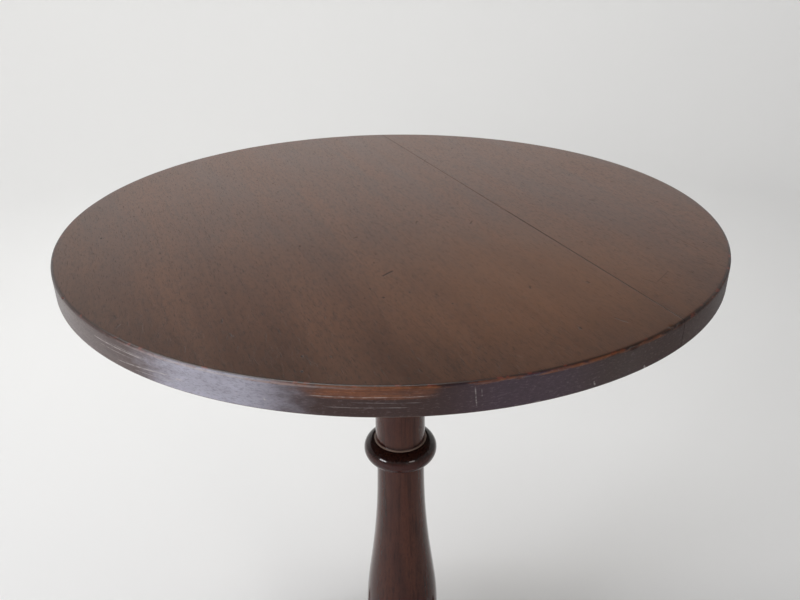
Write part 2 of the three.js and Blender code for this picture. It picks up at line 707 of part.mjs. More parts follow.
function addKeep() {
  const plate = boxSolid(
    [-KEEP.width / 2, -BLOCK.front, noseMiddle - KEEP.height / 2],
    [KEEP.width / 2, -BLOCK.front + KEEP.thickness, noseMiddle + KEEP.height / 2]);
  const halfWidth = CATCH.noseWidth / 2 + KEEP.clearance;
  const halfHeight = CATCH.noseHeight / 2 + KEEP.clearance;
  const window = boxSolid(
    [-halfWidth, -BLOCK.front - CUT, noseMiddle - halfHeight],
    [halfWidth, -BLOCK.front + KEEP.thickness + CUT, noseMiddle + halfHeight]);
  addPiece("keep_plate", cut(plate, window, ...keepHoles), materials.brass);
  keepScrewPlaces.forEach((place, n) =>
    addPiece(`keep_screw_${n + 1}`, screwSolid(KEEP_SCREW), materials.brass, place, [0, 1, 0]));
}

addBoards();
addBearers();
addBlock();
addPins();
addWedge();
addColumn();
addLegs();
addSpider();
addCatch();
addKeep();

for (const piece of table.children) piece.position.y += TOP.forward;

export default table;
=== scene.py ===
"""A round tilt-top tripod table in old mahogany, dressed for a plain pale studio.

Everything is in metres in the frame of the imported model: +Z up, the origin on the floor under the
middle of the top, +X along the grain, +Y to the back. Sizes in the classes are in millimetres.
"""

import logging
import math
from collections.abc import Iterator, Sequence
from contextlib import contextmanager
from dataclasses import dataclass, replace
from enum import Enum
from functools import partial, reduce

import bmesh
import bpy
import numpy as np
from mathutils import Matrix, Vector


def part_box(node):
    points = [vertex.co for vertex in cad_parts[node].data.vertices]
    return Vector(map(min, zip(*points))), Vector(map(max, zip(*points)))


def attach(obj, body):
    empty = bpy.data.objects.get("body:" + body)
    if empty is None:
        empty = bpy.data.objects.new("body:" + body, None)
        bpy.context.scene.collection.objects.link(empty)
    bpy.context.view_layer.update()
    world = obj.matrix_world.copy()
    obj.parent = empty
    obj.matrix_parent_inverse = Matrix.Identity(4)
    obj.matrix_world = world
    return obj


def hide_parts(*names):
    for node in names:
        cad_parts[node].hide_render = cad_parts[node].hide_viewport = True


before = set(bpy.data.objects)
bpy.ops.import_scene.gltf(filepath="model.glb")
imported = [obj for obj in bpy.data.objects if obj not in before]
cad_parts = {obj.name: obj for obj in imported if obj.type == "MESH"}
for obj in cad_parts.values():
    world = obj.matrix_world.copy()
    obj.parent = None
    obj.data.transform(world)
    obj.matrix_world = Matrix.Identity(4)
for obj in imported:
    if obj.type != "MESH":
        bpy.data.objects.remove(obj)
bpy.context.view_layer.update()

LOG = logging.getLogger("tilt_top_table")
MM = 0.001

# The ring of the column, in millimetres: its shape, and the darker band, painted shade and painted
# highlight round it, are all made from these.
RING_HEIGHT = 444.5
RING_RADIUS = 12.9

# The top, likewise.
TOP_RADIUS = 300.0
TOP_UNDERSIDE, TOP_SURFACE = (corner.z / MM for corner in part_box("top_board_wide"))

Mesh = bpy.types.Mesh
Material = bpy.types.Material
Socket = bpy.types.NodeSocket
Point = tuple[float, float]
Faces = list[tuple[int, ...]]
Value = float | Sequence[float] | Socket
Layers = tuple[Value, Value, Value]


class Body(Enum):
    """The rigid bodies of the table."""

    BASE = "base"
    TOP = "top"
    CATCH = "catch"


class Grain(Enum):
    """Which way the wood's fibres run."""

    ALONG_X = (0.0, 0.0, 0.0)
    ALONG_Y = (0.0, 0.0, -math.pi / 2)
    UPRIGHT = (0.0, math.pi / 2, 0.0)


# ---------------------------------------------------------------------------------------------
# Finishes
# ---------------------------------------------------------------------------------------------


def linear(hex_colour: str) -> tuple[float, float, float, float]:
    """Turns an sRGB hex colour into linear light.

    Args:
        hex_colour: Six hex digits, such as "7a4a30".

    Returns:
        Linear red, green and blue, and an alpha of 1.
    """
    parts = [int(hex_colour[i : i + 2], 16) / 255 for i in (0, 2, 4)]
    r, g, b = (c / 12.92 if c <= 0.04045 else ((c + 0.055) / 1.055) ** 2.4 for c in parts)
    return r, g, b, 1.0


def add_node(
    tree: bpy.types.NodeTree,
    kind: str,
    inputs: dict[str | int, Value] | None = None,
    **settings: object,
) -> bpy.types.Node:
    """Adds one shader node with its settings and links.

    Args:
        tree: The node tree that it joins.
        kind: The node's type, without its ShaderNode prefix.
        inputs: Socket name or number to a constant or to another node's output.
        settings: The node's own properties.

    Returns:
        The new node.
    """
    node = tree.nodes.new("ShaderNode" + kind)
    for name, value in settings.items():
        setattr(node, name, value)
    for key, value in (inputs or {}).items():
        if isinstance(value, Socket):
            tree.links.new(value, node.inputs[key])
        else:
            node.inputs[key].default_value = value
    return node


@dataclass(frozen=True)
class Stroke:
    """A scratch or other thin mark between two points of a surface, in millimetres."""

    start: Point
    end: Point
    width: float
    share: float

    def unrolled(self, radius: float) -> "Stroke":
        """The same mark with its degrees round an edge made millimetres along it."""
        ends = [(math.radians(turn) * radius, up) for turn, up in (self.start, self.end)]
        return replace(self, start=ends[0], end=ends[1])


class Recipe:
    """A node tree in the making: object coordinates, arithmetic, masks and colour layers."""

    def __init__(self, name: str) -> None:
        """Starts an empty material.

        Args:
            name: The material's name.
        """
        self.material = bpy.data.materials.new(name)
        self.material.use_nodes = True
        self.tree = self.material.node_tree
        self.tree.nodes.clear()
        self.place = add_node(self.tree, "TexCoord").outputs["Object"]
        split = add_node(self.tree, "SeparateXYZ", {0: self.place})
        self.x, self.y, self.z = split.outputs

    def calc(self, operation: str, *values: Value, clamp: bool = False) -> Socket:
        """One step of arithmetic on numbers or sockets."""
        inputs = dict(enumerate(values))
        return add_node(self.tree, "Math", inputs, operation=operation, use_clamp=clamp).outputs[0]

    def times(self, *factors: Value) -> Socket:
        """The product of some numbers or sockets."""
        return reduce(partial(self.calc, "MULTIPLY"), factors)

    def most(self, *values: Value) -> Socket:
        """The greatest of some numbers or sockets."""
        return reduce(partial(self.calc, "MAXIMUM"), values)

    def ramp(self, value: Value, low: float, high: float) -> Socket:
        """Rises smoothly from 0 to 1 as the value goes from low to high, or falls if high is less."""
        inputs = {"Value": value, "From Min": low, "From Max": high}
        return add_node(
            self.tree, "MapRange", inputs, interpolation_type="SMOOTHSTEP"
        ).outputs["Result"]

    def blend(self, share: Value, under: Value, over: Value) -> Socket:
        """Lays one colour over another by a share of 0 to 1."""
        return add_node(self.tree, "Mix", {0: share, 6: under, 7: over}, data_type="RGBA").outputs[2]

    def tint(self, colour: Value, over: str, *shares: Value) -> Socket:
        """Lays a hex colour over another by the product of some shares."""
        return self.blend(self.times(*shares), colour, linear(over))

    def grid(self, size_mm: Sequence[float], turn: Sequence[float] = (0, 0, 0)) -> Socket:
        """Coordinates in which one unit is the given size, after a turn.

        Args:
            size_mm: The size of one unit along each axis.
            turn: Rotation in radians that is made first.

        Returns:
            The vector socket.
        """
        turned = add_node(self.tree, "Mapping", {"Vector": self.place, "Rotation": turn}).outputs[0]
        scale = [1 / (s * MM) for s in size_mm]
        return add_node(self.tree, "Mapping", {"Vector": turned, "Scale": scale}).outputs[0]

    def apart(self, point_mm: Sequence[float]) -> Socket:
        """Distance from a point, in millimetres."""
        ends = {0: self.grid((1, 1, 1)), 1: point_mm}
        return add_node(self.tree, "VectorMath", ends, operation="DISTANCE").outputs["Value"]

    def noise(
        self, where: Socket, detail: float = 2.0, rough: float = 0.5, bend: float = 0.0
    ) -> Socket:
        """Cloudy noise whose patches are about one unit of the given coordinates."""
        inputs = {"Vector": where, "Scale": 1.0, "Detail": detail, "Roughness": rough, "Distortion": bend}
        return add_node(self.tree, "TexNoise", inputs).outputs["Fac"]

    def strokes(self, across: Value, up: Value, marks: Sequence[Stroke]) -> Socket:
        """The strongest of some strokes at each point.

        Args:
            across: First coordinate of the surface, in millimetres.
            up: Second coordinate.
            marks: The strokes.

        Returns:
            A mask of 0 to 1.
        """
        mask: Value = 0.0
        for mark in marks:
            length = math.dist(mark.start, mark.end)
            ux, uy = ((b - a) / length for a, b in zip(mark.start, mark.end))
            dx = self.calc("SUBTRACT", across, mark.start[0])
            dy = self.calc("SUBTRACT", up, mark.start[1])
            run = self.calc("MULTIPLY_ADD", dx, ux, self.times(dy, uy))
            off = self.calc("ABSOLUTE", self.calc("MULTIPLY_ADD", dx, uy, self.times(dy, -ux)))
            ends = self.calc("ABSOLUTE", self.calc("SUBTRACT", run, length / 2))
            line = self.ramp(off, mark.width / 2, mark.width / 6)
            taper = self.ramp(ends, length / 2, length * 0.36)
            mask = self.most(mask, self.times(line, mark.share, taper))
        return mask

    def zone(self, value: Value, middle: float, full: float, reach: float) -> Socket:
        """1 within some distance of a middle value, falling to 0 at its reach."""
        return self.ramp(self.calc("ABSOLUTE", self.calc("SUBTRACT", value, middle)), reach, full)

    def finish(self, colour: Value, rough: Value, height_mm: Value, **shader: Value) -> Material:
        """Closes the tree with a principled shader.

        Args:
            colour: Base colour.
            rough: Roughness.
            height_mm: Relief in millimetres.
            shader: Constants for the shader's other sockets, with _ for each space.

        Returns:
            The material.
        """
        bump = add_node(self.tree, "Bump", {"Height": height_mm, "Distance": MM, "Strength": 1.0})
        inputs = {"Base Color": colour, "Roughness": rough, "Normal": bump.outputs[0]}
        inputs |= {name.replace("_", " "): value for name, value in shader.items()}
        surface = add_node(self.tree, "BsdfPrincipled", inputs)
        add_node(self.tree, "OutputMaterial", {"Surface": surface.outputs[0]})
        return self.material


@dataclass(frozen=True)
class Mahogany:
    """Old mahogany: a straight, slightly wandering grain with short dark pores along it.

    Pores are some 0.3 mm wide and are drawn about twice that, so that they show.
    """

    name: str
    grain: Grain
    deep: str = "2c130e"
    middle: str = "4a241a"
    pale: str = "6b3a26"
    roughness: float = 0.3
    pore_depth: float = 0.03
    streak_share: float = 0.55
    pore_share: float = 0.5
    fleck_share: float = 0.3
    coat: float = 0.0
    coat_roughness: float = 0.07
    specular: float = 0.5

    def layers(self, r: Recipe) -> Layers:
        """Lays down the wood: figure, streaks, then pores.

        Args:
            r: The recipe to add to.

        Returns:
            Colour, roughness and relief in millimetres.
        """
        turn = self.grain.value
        figure = r.noise(r.grid((210, 38, 38), turn), 3.0, 0.55, 0.6)
        streak = r.noise(r.grid((150, 3.4, 3.4), turn), 4.0, 0.62, 0.25)
        fine = r.noise(r.grid((60, 0.9, 0.9), turn), 2.0, 0.6)
        fleck = r.noise(r.grid((5.0, 1.7, 1.7), turn), 3.0, 0.7)
        pores = r.noise(r.grid((7.5, 0.62, 0.62), turn), 1.0, 0.5)
        pore = r.ramp(pores, 0.62, 0.72)
        colour = r.blend(r.ramp(figure, 0.3, 0.72), linear(self.middle), linear(self.pale))
        for share, most in (
            (r.ramp(streak, 0.46, 0.7), self.streak_share),
            (r.ramp(fine, 0.5, 0.75), 0.22),
            (r.ramp(fleck, 0.45, 0.72), self.fleck_share),
            (pore, self.pore_share),
        ):
            colour = r.tint(colour, self.deep, share, most)
        rough = r.calc("MULTIPLY_ADD", figure, 0.12, self.roughness - 0.06)
        rough = r.calc("MULTIPLY_ADD", pore, 0.15, rough)
        relief = r.calc("MULTIPLY_ADD", streak, 0.012, r.times(pore, -self.pore_depth))
        return colour, rough, relief

    def polished(self, r: Recipe, *layers: Value) -> Material:
        """The wood's layers under its polish."""
        return r.finish(
            *layers, IOR=1.5, Specular_IOR_Level=self.specular,
            Coat_Weight=self.coat, Coat_Roughness=self.coat_roughness,
        )

    def material(self) -> Material:
        """The wood as a material."""
        r = Recipe(self.name)
        return self.polished(r, *self.layers(r))


@dataclass(frozen=True)
class TurnedMahogany(Mahogany):
    """Mahogany turned and polished on the lathe, with painted shade in the hollow over the ring and a
    painted highlight on the fillet above it.
    """

    coat_roughness: float = 0.1
    # Painted shade over the ring, a darker band round it, and a painted highlight on the fillet above it.
    ring_top_shade: str = "120809"
    ring: str = "2e0c12"
    wear_and_highlight: str = "a48e80"

    def material(self) -> Material:
        """The turned wood with painted shade over the ring and a painted pale highlight on the fillet's
        edge.
        """
        r = Recipe(self.name)
        colour, rough, relief = self.layers(r)
        up_mm = r.calc("DIVIDE", r.z, MM)
        top = RING_HEIGHT + RING_RADIUS
        # Painted shade over the top of the ring and in the hollow above it.
        colour = r.tint(colour, self.ring_top_shade, r.zone(up_mm, top - 2.5, 3.0, 9.0), 0.75)
        colour = r.tint(colour, self.ring, r.zone(up_mm, RING_HEIGHT - 4.0, 6.0, 9.5), 0.5)
        # A painted pale highlight along the edge of the fillet where the shaft leaves the ring.
        colour = r.tint(colour, self.wear_and_highlight, r.zone(up_mm, top + 0.6, 0.35, 0.8), 0.7)
        return self.polished(r, colour, rough, relief)


@dataclass(frozen=True)
class WornTop(Mahogany):
    """French-polished mahogany of a top in use: pits and scratches, a rim worn to bare wood, and a painted
    highlight along its arris.

    The polish gives a broad soft sheen. Angles are in degrees round the top, from +X towards +Y.
    """

    coat_roughness: float = 0.2
    radius: float = TOP_RADIUS
    surface: float = TOP_SURFACE
    underside: float = TOP_UNDERSIDE
    seam: float = 102.0
    raw: str = "6a4a36"
    bare: str = "884e29"
    bloom: str = "c3c2d2"
    bruise: str = "4e3d50"
    scraped: str = "c8bebb"
    dents: tuple[Stroke, ...] = (
        Stroke((46, 191), (49, 197), 2.2, 0.8),
        Stroke((50, 60), (57, 54), 2.0, 0.7),
        Stroke((123, -49), (130, -62), 2.4, 1.0),
        Stroke((44, -50), (46, -55), 2.6, 0.8),
        Stroke((42, -102), (47, -104), 2.4, 0.7),
        Stroke((30, 13), (36, 9), 1.8, 0.7),
        Stroke((150, -190), (156, -191), 1.8, 0.8),
        Stroke((173, -189), (178, -188), 1.8, 0.7),
        Stroke((113, -259), (120, -257), 2.4, 0.6),
        Stroke((128, -256), (134, -259), 2.2, 0.6),
        Stroke((8, 246), (9, 250), 3.0, 0.7),
        Stroke((201, 78), (206, 78), 2.6, 0.7),
        Stroke((191, 34), (196, 32), 2.0, 0.7),
        Stroke((258, 60), (269, 65), 2.0, 0.6),
        Stroke((260, 31), (264, 29), 3.0, 0.7),
        Stroke((-152, 106), (-139, 97), 1.6, 0.5),
        Stroke((140, 202), (196, 199), 1.3, 0.35),
        Stroke((212, 148), (226, 124), 1.2, 0.4),
        Stroke((213, 119), (228, 124), 1.4, 0.4),
        Stroke((95, 236), (150, 214), 1.2, 0.25),
    )
    # On the rim: degrees round the top, and millimetres above the floor.
    scrapes: tuple[Stroke, ...] = (
        Stroke((-66.5, 712.2), (-54.5, 712.9), 1.2, 0.6),
        Stroke((-62.0, 714.2), (-52.0, 713.4), 0.8, 0.35),
        Stroke((-61.0, 702.8), (-50.5, 707.8), 1.3, 0.6),
        Stroke((-57.5, 701.4), (-50.0, 703.8), 0.9, 0.4),
        Stroke((-65.0, 708.8), (-57.0, 709.6), 0.8, 0.3),
        Stroke((-50.0, 706.4), (-48.6, 706.8), 2.0, 0.5),
        Stroke((-41.2, 707.2), (-41.0, 705.4), 1.2, 0.6),
        Stroke((-37.6, 707.0), (-37.4, 704.8), 1.4, 0.8),
        Stroke((-33.0, 712.3), (-17.5, 712.7), 0.9, 0.55),
        Stroke((-30.5, 704.9), (-20.0, 705.3), 0.8, 0.3),
        Stroke((-27.5, 708.8), (-18.5, 708.4), 0.7, 0.25),
        Stroke((-12.8, 717.4), (-12.5, 702.0), 1.1, 0.5),
        Stroke((-12.0, 715.0), (-11.9, 709.0), 0.8, 0.35),
        Stroke((3.0, 703.6), (3.3, 699.6), 1.8, 0.75),
        Stroke((11.6, 701.0), (11.9, 698.0), 2.0, 0.75),
        Stroke((-5.6, 698.6), (-4.4, 698.6), 2.0, 0.5),
    )

    def material(self) -> Material:
        """The top's wood with its wear."""
        r = Recipe(self.name)
        colour, rough, relief = self.layers(r)
        colour, rough, relief = self.marks(r, colour, rough, relief)
        colour, rough, relief = self.rim(r, colour, rough, relief)
        under = r.ramp(r.z, (self.underside + 0.6) * MM, (self.underside + 0.2) * MM)
        raw = r.tint(colour, self.raw, 0.45)
        bands = r.ramp(r.noise(r.grid((240, 7, 900)), 4.0, 0.6, 0.3), 0.42, 0.68)
        raw = r.tint(raw, "3a251b", bands, 0.55)
        colour = r.blend(under, colour, raw)
        rough = r.most(rough, r.times(under, 0.7))
        return self.polished(r, colour, rough, relief)

    def marks(self, r: Recipe, colour: Value, rough: Value, relief: Value) -> Layers:
        """Adds what years of use leave on the flat: cloudy tone, pits, dashes and scratches.

        Args:
            r: The recipe.
            colour: Colour so far.
            rough: Roughness so far.
            relief: Relief so far, in millimetres.

        Returns:
            The three with the marks.
        """
        flat = r.ramp(r.z, (self.surface - 0.6) * MM, (self.surface - 0.2) * MM)
        # Colour that the light has warmed, towards the +X side.
        cloud = r.noise(r.grid((90, 60, 90)), 3.0, 0.6)
        reach = r.calc("MULTIPLY_ADD", cloud, -120.0, r.apart((185, 45, self.surface)))
        colour = r.tint(colour, "754c2d", r.ramp(reach, 120.0, -45.0), 0.45)
        # Darker towards the rim on the +X, -Y side.
        reach = r.calc("MULTIPLY_ADD", cloud, 40.0, r.apart((-42, 34, self.surface)))
        colour = r.tint(colour, "1f130d", r.ramp(reach, 285.0, 385.0), 0.32)
        # Dark pits, 1 to 3 mm across, gathered in places.
        cells = {"Vector": r.grid((15.0, 10.5, 2000)), "Scale": 1.0}
        spots = add_node(r.tree, "TexVoronoi", cells).outputs
        chance = add_node(r.tree, "SeparateXYZ", {0: spots["Color"]}).outputs[0]
        gather = r.ramp(r.noise(r.grid((120, 120, 120)), 2.0), 0.35, 0.65)
        size = r.times(chance, gather, 0.1)
        pit = r.ramp(r.calc("SUBTRACT", spots["Distance"], size), 0.012, -0.018)
        # Short dents and cuts lie along and a little across the grain.
        cuts = r.noise(r.grid((16, 0.9, 400), (0, 0, 0.12)), 1.0)
        cut = r.times(r.ramp(cuts, 0.725, 0.78), gather)
        x_mm, y_mm = (r.calc("DIVIDE", axis, MM) for axis in (r.x, r.y))
        scratch = r.strokes(x_mm, y_mm, self.dents)
        # Dirt in the open glue joint, blacker towards the +X end.
        off = r.calc("ABSOLUTE", r.calc("SUBTRACT", r.y, self.seam * MM))
        open_end = r.times(r.ramp(r.x, 0.03, 0.05), r.ramp(r.x, 0.32, 0.2))
        broken = r.ramp(r.noise(r.grid((30, 400, 400)), 2.0, 0.6), 0.3, 0.5)
        dirt = r.times(
            r.ramp(off, 1.0 * MM, 0.4 * MM),
            r.calc("MULTIPLY_ADD", open_end, 0.75, 0.22),
            r.calc("MULTIPLY_ADD", broken, 0.4, 0.6),
        )
        dark = r.times(r.most(pit, r.times(cut, 0.75), dirt, scratch), flat)
        colour = r.tint(colour, "170b08", dark, 0.85)
        rough = r.calc("MULTIPLY_ADD", dark, 0.25, rough)
        hollow = r.noise(r.grid((70, 55, 70)), 1.0)
        relief = r.calc("MULTIPLY_ADD", dark, -0.18, relief)
        relief = r.calc("MULTIPLY_ADD", hollow, 0.35, relief)
        return colour, rough, relief

    def rim(self, r: Recipe, colour: Value, rough: Value, relief: Value) -> Layers:
        """Adds the wear of the edge: a worn arris, long scrapes and a grey bloom in the polish, and a
        painted highlight along the arris.

        Args:
            r: The recipe.
            colour: Colour so far.
            rough: Roughness so far.
            relief: Relief so far, in millimetres.

        Returns:
            The three with the edge's wear.
        """
        round_rad = r.calc("ARCTAN2", r.y, r.x)
        degrees = r.times(round_rad, 180 / math.pi)
        arc_mm = r.times(round_rad, self.radius)
        up_mm = r.calc("DIVIDE", r.z, MM)
        out = r.calc("SQRT", r.calc("ADD", r.times(r.x, r.x), r.times(r.y, r.y)))
        out_mm = r.calc("DIVIDE", out, MM)
        side = r.times(
            r.ramp(out_mm, self.radius - 1.6, self.radius - 0.6),
            r.ramp(up_mm, self.underside + 0.5, self.underside + 1.5),
        )
        colour = r.tint(colour, "301112", side, 0.75)
        # Polish that has darkened round the brim, broken by rubbed red spots.
        brim = r.times(
            r.ramp(out_mm, self.radius - 3.4, self.radius - 1.8),
            r.ramp(up_mm, self.surface - 1.8, self.surface - 0.9),
        )
        colour = r.tint(colour, "1c0b07", brim, 0.75)
        spots = r.ramp(r.noise(r.grid((9, 9, 3)), 2.0, 0.6), 0.56, 0.66)
        colour = r.tint(colour, "7a3320", brim, spots, 0.7)
        # A dull grown-in zone and a grey bloom in the polish, towards -Y.
        along = {0: r.calc("DIVIDE", arc_mm, 34.0), 1: r.calc("DIVIDE", up_mm, 0.9)}
        streaks = r.noise(add_node(r.tree, "CombineXYZ", along).outputs[0], 2.0, 0.6)
        streak = r.ramp(streaks, 0.35, 0.65)
        streaky = r.calc("MULTIPLY_ADD", streak, 0.35, 0.2)
        colour = r.tint(colour, "6d5b57", r.zone(degrees, -64.0, 9.0, 22.0), streaky, side)
        cloud = r.noise(r.grid((16, 16, 6)), 3.0, 0.6)
        edgy = r.calc("MULTIPLY_ADD", cloud, 7.0, degrees)
        bloom = r.times(r.zone(edgy, -41.0, 3.5, 14.0), side)
        bloom = r.calc("MULTIPLY", bloom, r.calc("MULTIPLY_ADD", cloud, 0.5, 0.55), clamp=True)
        mottle = r.noise(r.grid((3.2, 3.2, 1.1)), 3.0, 0.7)
        colour = r.tint(colour, self.bloom, r.calc("MULTIPLY_ADD", r.times(bloom, mottle), -0.2, bloom))
        colour = r.tint(colour, self.bruise, r.zone(degrees, -6.0, 3.0, 13.0), side, 0.6)
        # Bare wood where hands and chair backs rub, ragged along the grain.
        lower = r.calc("MULTIPLY_ADD", streaks, 5.0, self.surface - 12.0)
        over = r.ramp(r.calc("SUBTRACT", up_mm, lower), 0.0, 1.5)
        worn_arris = r.times(
            r.ramp(up_mm, self.surface - 2.6, self.surface - 1.6),
            r.ramp(r.noise(r.grid((22, 22, 3)), 3.0, 0.65), 0.45, 0.6),
            r.zone(degrees, -12.0, 24.0, 60.0),
        )
        wear_and_highlight = r.most(r.times(r.zone(edgy, -22.0, 3.5, 9.5), over), worn_arris)
        wear_and_highlight = r.times(wear_and_highlight, side, r.calc("MULTIPLY_ADD", streak, 0.5, 0.45))
        colour = r.tint(colour, self.bare, wear_and_highlight)
        # A painted highlight along the arris, from the front round to the -Y side.
        arris_highlight = r.times(
            r.ramp(out_mm, self.radius - 1.5, self.radius - 0.9),
            r.zone(up_mm, self.surface - 1.5, 0.3, 0.8),
            r.zone(edgy, -40.0, 8.0, 22.0),
        )
        colour = r.tint(colour, "a89a98", arris_highlight, 0.55)
        scrapes = r.strokes(arc_mm, up_mm, [mark.unrolled(self.radius) for mark in self.scrapes])
        torn = r.ramp(r.noise(r.grid((5, 5, 1.2)), 2.0, 0.7), 0.38, 0.58)
        scraped = r.times(scrapes, side, r.calc("MULTIPLY_ADD", torn, 0.75, 0.25))
        colour = r.tint(colour, self.scraped, scraped)
        # The whole edge is finely mottled where its polish has worn through and darkened.
        colour = r.tint(colour, "1c0c0e", side, r.ramp(mottle, 0.46, 0.66), 0.26)
        colour = r.tint(colour, "9a8a8c", side, r.ramp(mottle, 0.44, 0.34), 0.16)
        rough = r.calc("MULTIPLY_ADD", wear_and_highlight, 0.2, rough)
        worn_dull = r.times(r.zone(degrees, 40.0, 22.0, 36.0), side)
        rough = r.calc("MULTIPLY_ADD", worn_dull, 0.35, rough)
        rough = r.calc("MULTIPLY_ADD", bloom, 0.15, rough)
        relief = r.calc("MULTIPLY_ADD", r.times(streaks, side), -0.08, relief)
        relief = r.calc("MULTIPLY_ADD", scraped, -0.15, relief)
        return colour, rough, relief


@dataclass(frozen=True)
class OldMetal:
    """Cast or rolled metal, dulled and spotted by age, with fine wear scratches."""

    name: str
    bright: str
    dull: str
    roughness: float = 0.38
    metallic: float = 1.0
    pitting: float = 0.04

    def material(self) -> Material:
        """The metal as a material."""
        r = Recipe(self.name)
        stain = r.noise(r.grid((9, 9, 9)), 4.0, 0.65)
        grit = r.noise(r.grid((0.8, 0.8, 0.8)), 2.0, 0.6)
        lines = r.noise(r.grid((9, 0.35, 0.35), (0.2, 0.1, 0.5)), 1.0)
        aged = r.ramp(stain, 0.35, 0.66)
        colour = r.blend(aged, linear(self.bright), linear(self.dull))
        rough = r.calc("MULTIPLY_ADD", aged, 0.25, self.roughness)
        rough = r.calc("MULTIPLY_ADD", lines, 0.1, rough)
        relief = r.calc("MULTIPLY_ADD", grit, -self.pitting, r.times(lines, 0.01))
        return r.finish(colour, rough, relief, Metallic=self.metallic)


TOP_WOOD = WornTop(
    "french_polished_mahogany_top",
    Grain.ALONG_X,
    deep="24150e",
    middle="5c3b2a",
    pale="6a4530",
    roughness=0.34,
    streak_share=0.2,
    fleck_share=0.65,
    pore_share=0.75,
    coat=0.14,
    specular=0.56,
)
TURNED_WOOD = TurnedMahogany(
    "french_polished_mahogany_turned", Grain.UPRIGHT, deep="1a0e0c", middle="432018", pale="582f21",
    roughness=0.18, coat=0.65, specular=0.04,
)
BLOCK_WOOD = Mahogany(
    "planed_mahogany_block", Grain.ALONG_X, deep="38221a", middle="5a3a2a", pale="755039",
    roughness=0.62, pore_depth=0.06,
)
BEARER_WOOD = Mahogany(
    "planed_mahogany_bearer", Grain.ALONG_Y, deep="38221a", middle="583728", pale="724c36",
    roughness=0.6, pore_depth=0.06,
)
OAK = Mahogany(
    "cleft_oak", Grain.ALONG_X, deep="3d2919", middle="6e4c30", pale="8c6745",
    roughness=0.6, pore_depth=0.08,
)
BRASS = OldMetal("aged_cast_brass", "a88850", "775a30")
STEEL = OldMetal("old_steel_screw", "7d7874", "3a322c", roughness=0.42)
SPRING_STEEL = OldMetal("blued_spring_steel", "5d6470", "32343a", roughness=0.3)
IRON = OldMetal("blackened_wrought_iron", "3b3632", "211d1a", roughness=0.58, pitting=0.25)


# ---------------------------------------------------------------------------------------------
# Shapes
# ---------------------------------------------------------------------------------------------


def arc(cx: float, cy: float, radius: float, start: float, end: float, steps: int) -> list[Point]:
    """Points on an arc.

    Args:
        cx: Centre, across.
        cy: Centre, up.
        radius: Radius of the arc.
        start: First angle in degrees.
        end: Last angle in degrees.
        steps: Number of chords.

    Returns:
        The points, with both ends.
    """
    turns = np.radians(np.linspace(start, end, steps + 1))
    return [(cx + radius * math.cos(t), cy + radius * math.sin(t)) for t in turns]


def bezier(points: Sequence[Point], steps: int) -> list[Point]:
    """Points on a Bezier curve of any degree, with both ends."""
    out = []
    for t in np.linspace(0, 1, steps + 1):
        row = np.array(points, float)
        while len(row) > 1:
            row = row[:-1] * (1 - t) + row[1:] * t
        out.append(tuple(row[0]))
    return out


def spline(points: Sequence[Point], t: float) -> np.ndarray:
    """A point on a uniform Catmull-Rom spline.

    Args:
        points: The points that it passes through.
        t: How far along it, from 0 to 1.

    Returns:
        The point.
    """
    last = len(points) - 1
    place = t * last
    i = min(int(place), last - 1)
    w = place - i
    near = [np.array(points[min(max(k, 0), last)], float) for k in (i - 1, i, i + 1, i + 2)]
    if i == 0:
        near[0] = near[1]
    if i == last - 1:
        near[3] = near[2]
    v0, v1 = (near[2] - near[0]) * 0.5, (near[3] - near[1]) * 0.5
    return (
        (2 * near[1] - 2 * near[2] + v0 + v1) * w**3
        + (-3 * near[1] + 3 * near[2] - 2 * v0 - v1) * w**2
        + v0 * w
        + near[1]
    )


@contextmanager
def worked(mesh: Mesh) -> Iterator[bmesh.types.BMesh]:
    """Opens a mesh to be worked on, and puts back what was made of it."""
    bm = bmesh.new()
    bm.from_mesh(mesh)
    yield bm
    bm.to_mesh(mesh)
    bm.free()


def put(name: str, data: bpy.types.ID) -> bpy.types.Object:
    """Puts a new object in the scene."""
    item = bpy.data.objects.new(name, data)
    bpy.context.collection.objects.link(item)
    return item


def middle_of(node: str) -> Vector:
    """The middle of a solid's box, in metres."""
    low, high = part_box(node)
    return (low + high) / 2


def saw(bm: bmesh.types.BMesh, cuts: Sequence[tuple[Vector, Vector]]) -> None:
    """Saws a solid off at some planes and closes each cut.

    Args:
        bm: The solid, which is changed.
        cuts: A point and an outward normal for each cut.
    """
    for point, normal in cuts:
        everything = bm.verts[:] + bm.edges[:] + bm.faces[:]
        made = bmesh.ops.bisect_plane(
            bm, geom=everything, plane_co=point, plane_no=normal, clear_outer=True, dist=1e-7
        )
        rim = [e for e in made["geom_cut"] if isinstance(e, bmesh.types.BMEdge)]
        if rim:
            bmesh.ops.contextual_create(bm, geom=rim)


def mesh_of(name: str, verts: np.ndarray, faces: Sequence[Sequence[int]]) -> Mesh:
    """A mesh from points in millimetres, with its faces turned outwards."""
    mesh = bpy.data.meshes.new(name)
    mesh.from_pydata((np.asarray(verts) * MM).tolist(), [], list(faces))
    with worked(mesh) as bm:
        bmesh.ops.remove_doubles(bm, verts=bm.verts, dist=1e-7)
        bmesh.ops.recalc_face_normals(bm, faces=bm.faces)
    return mesh


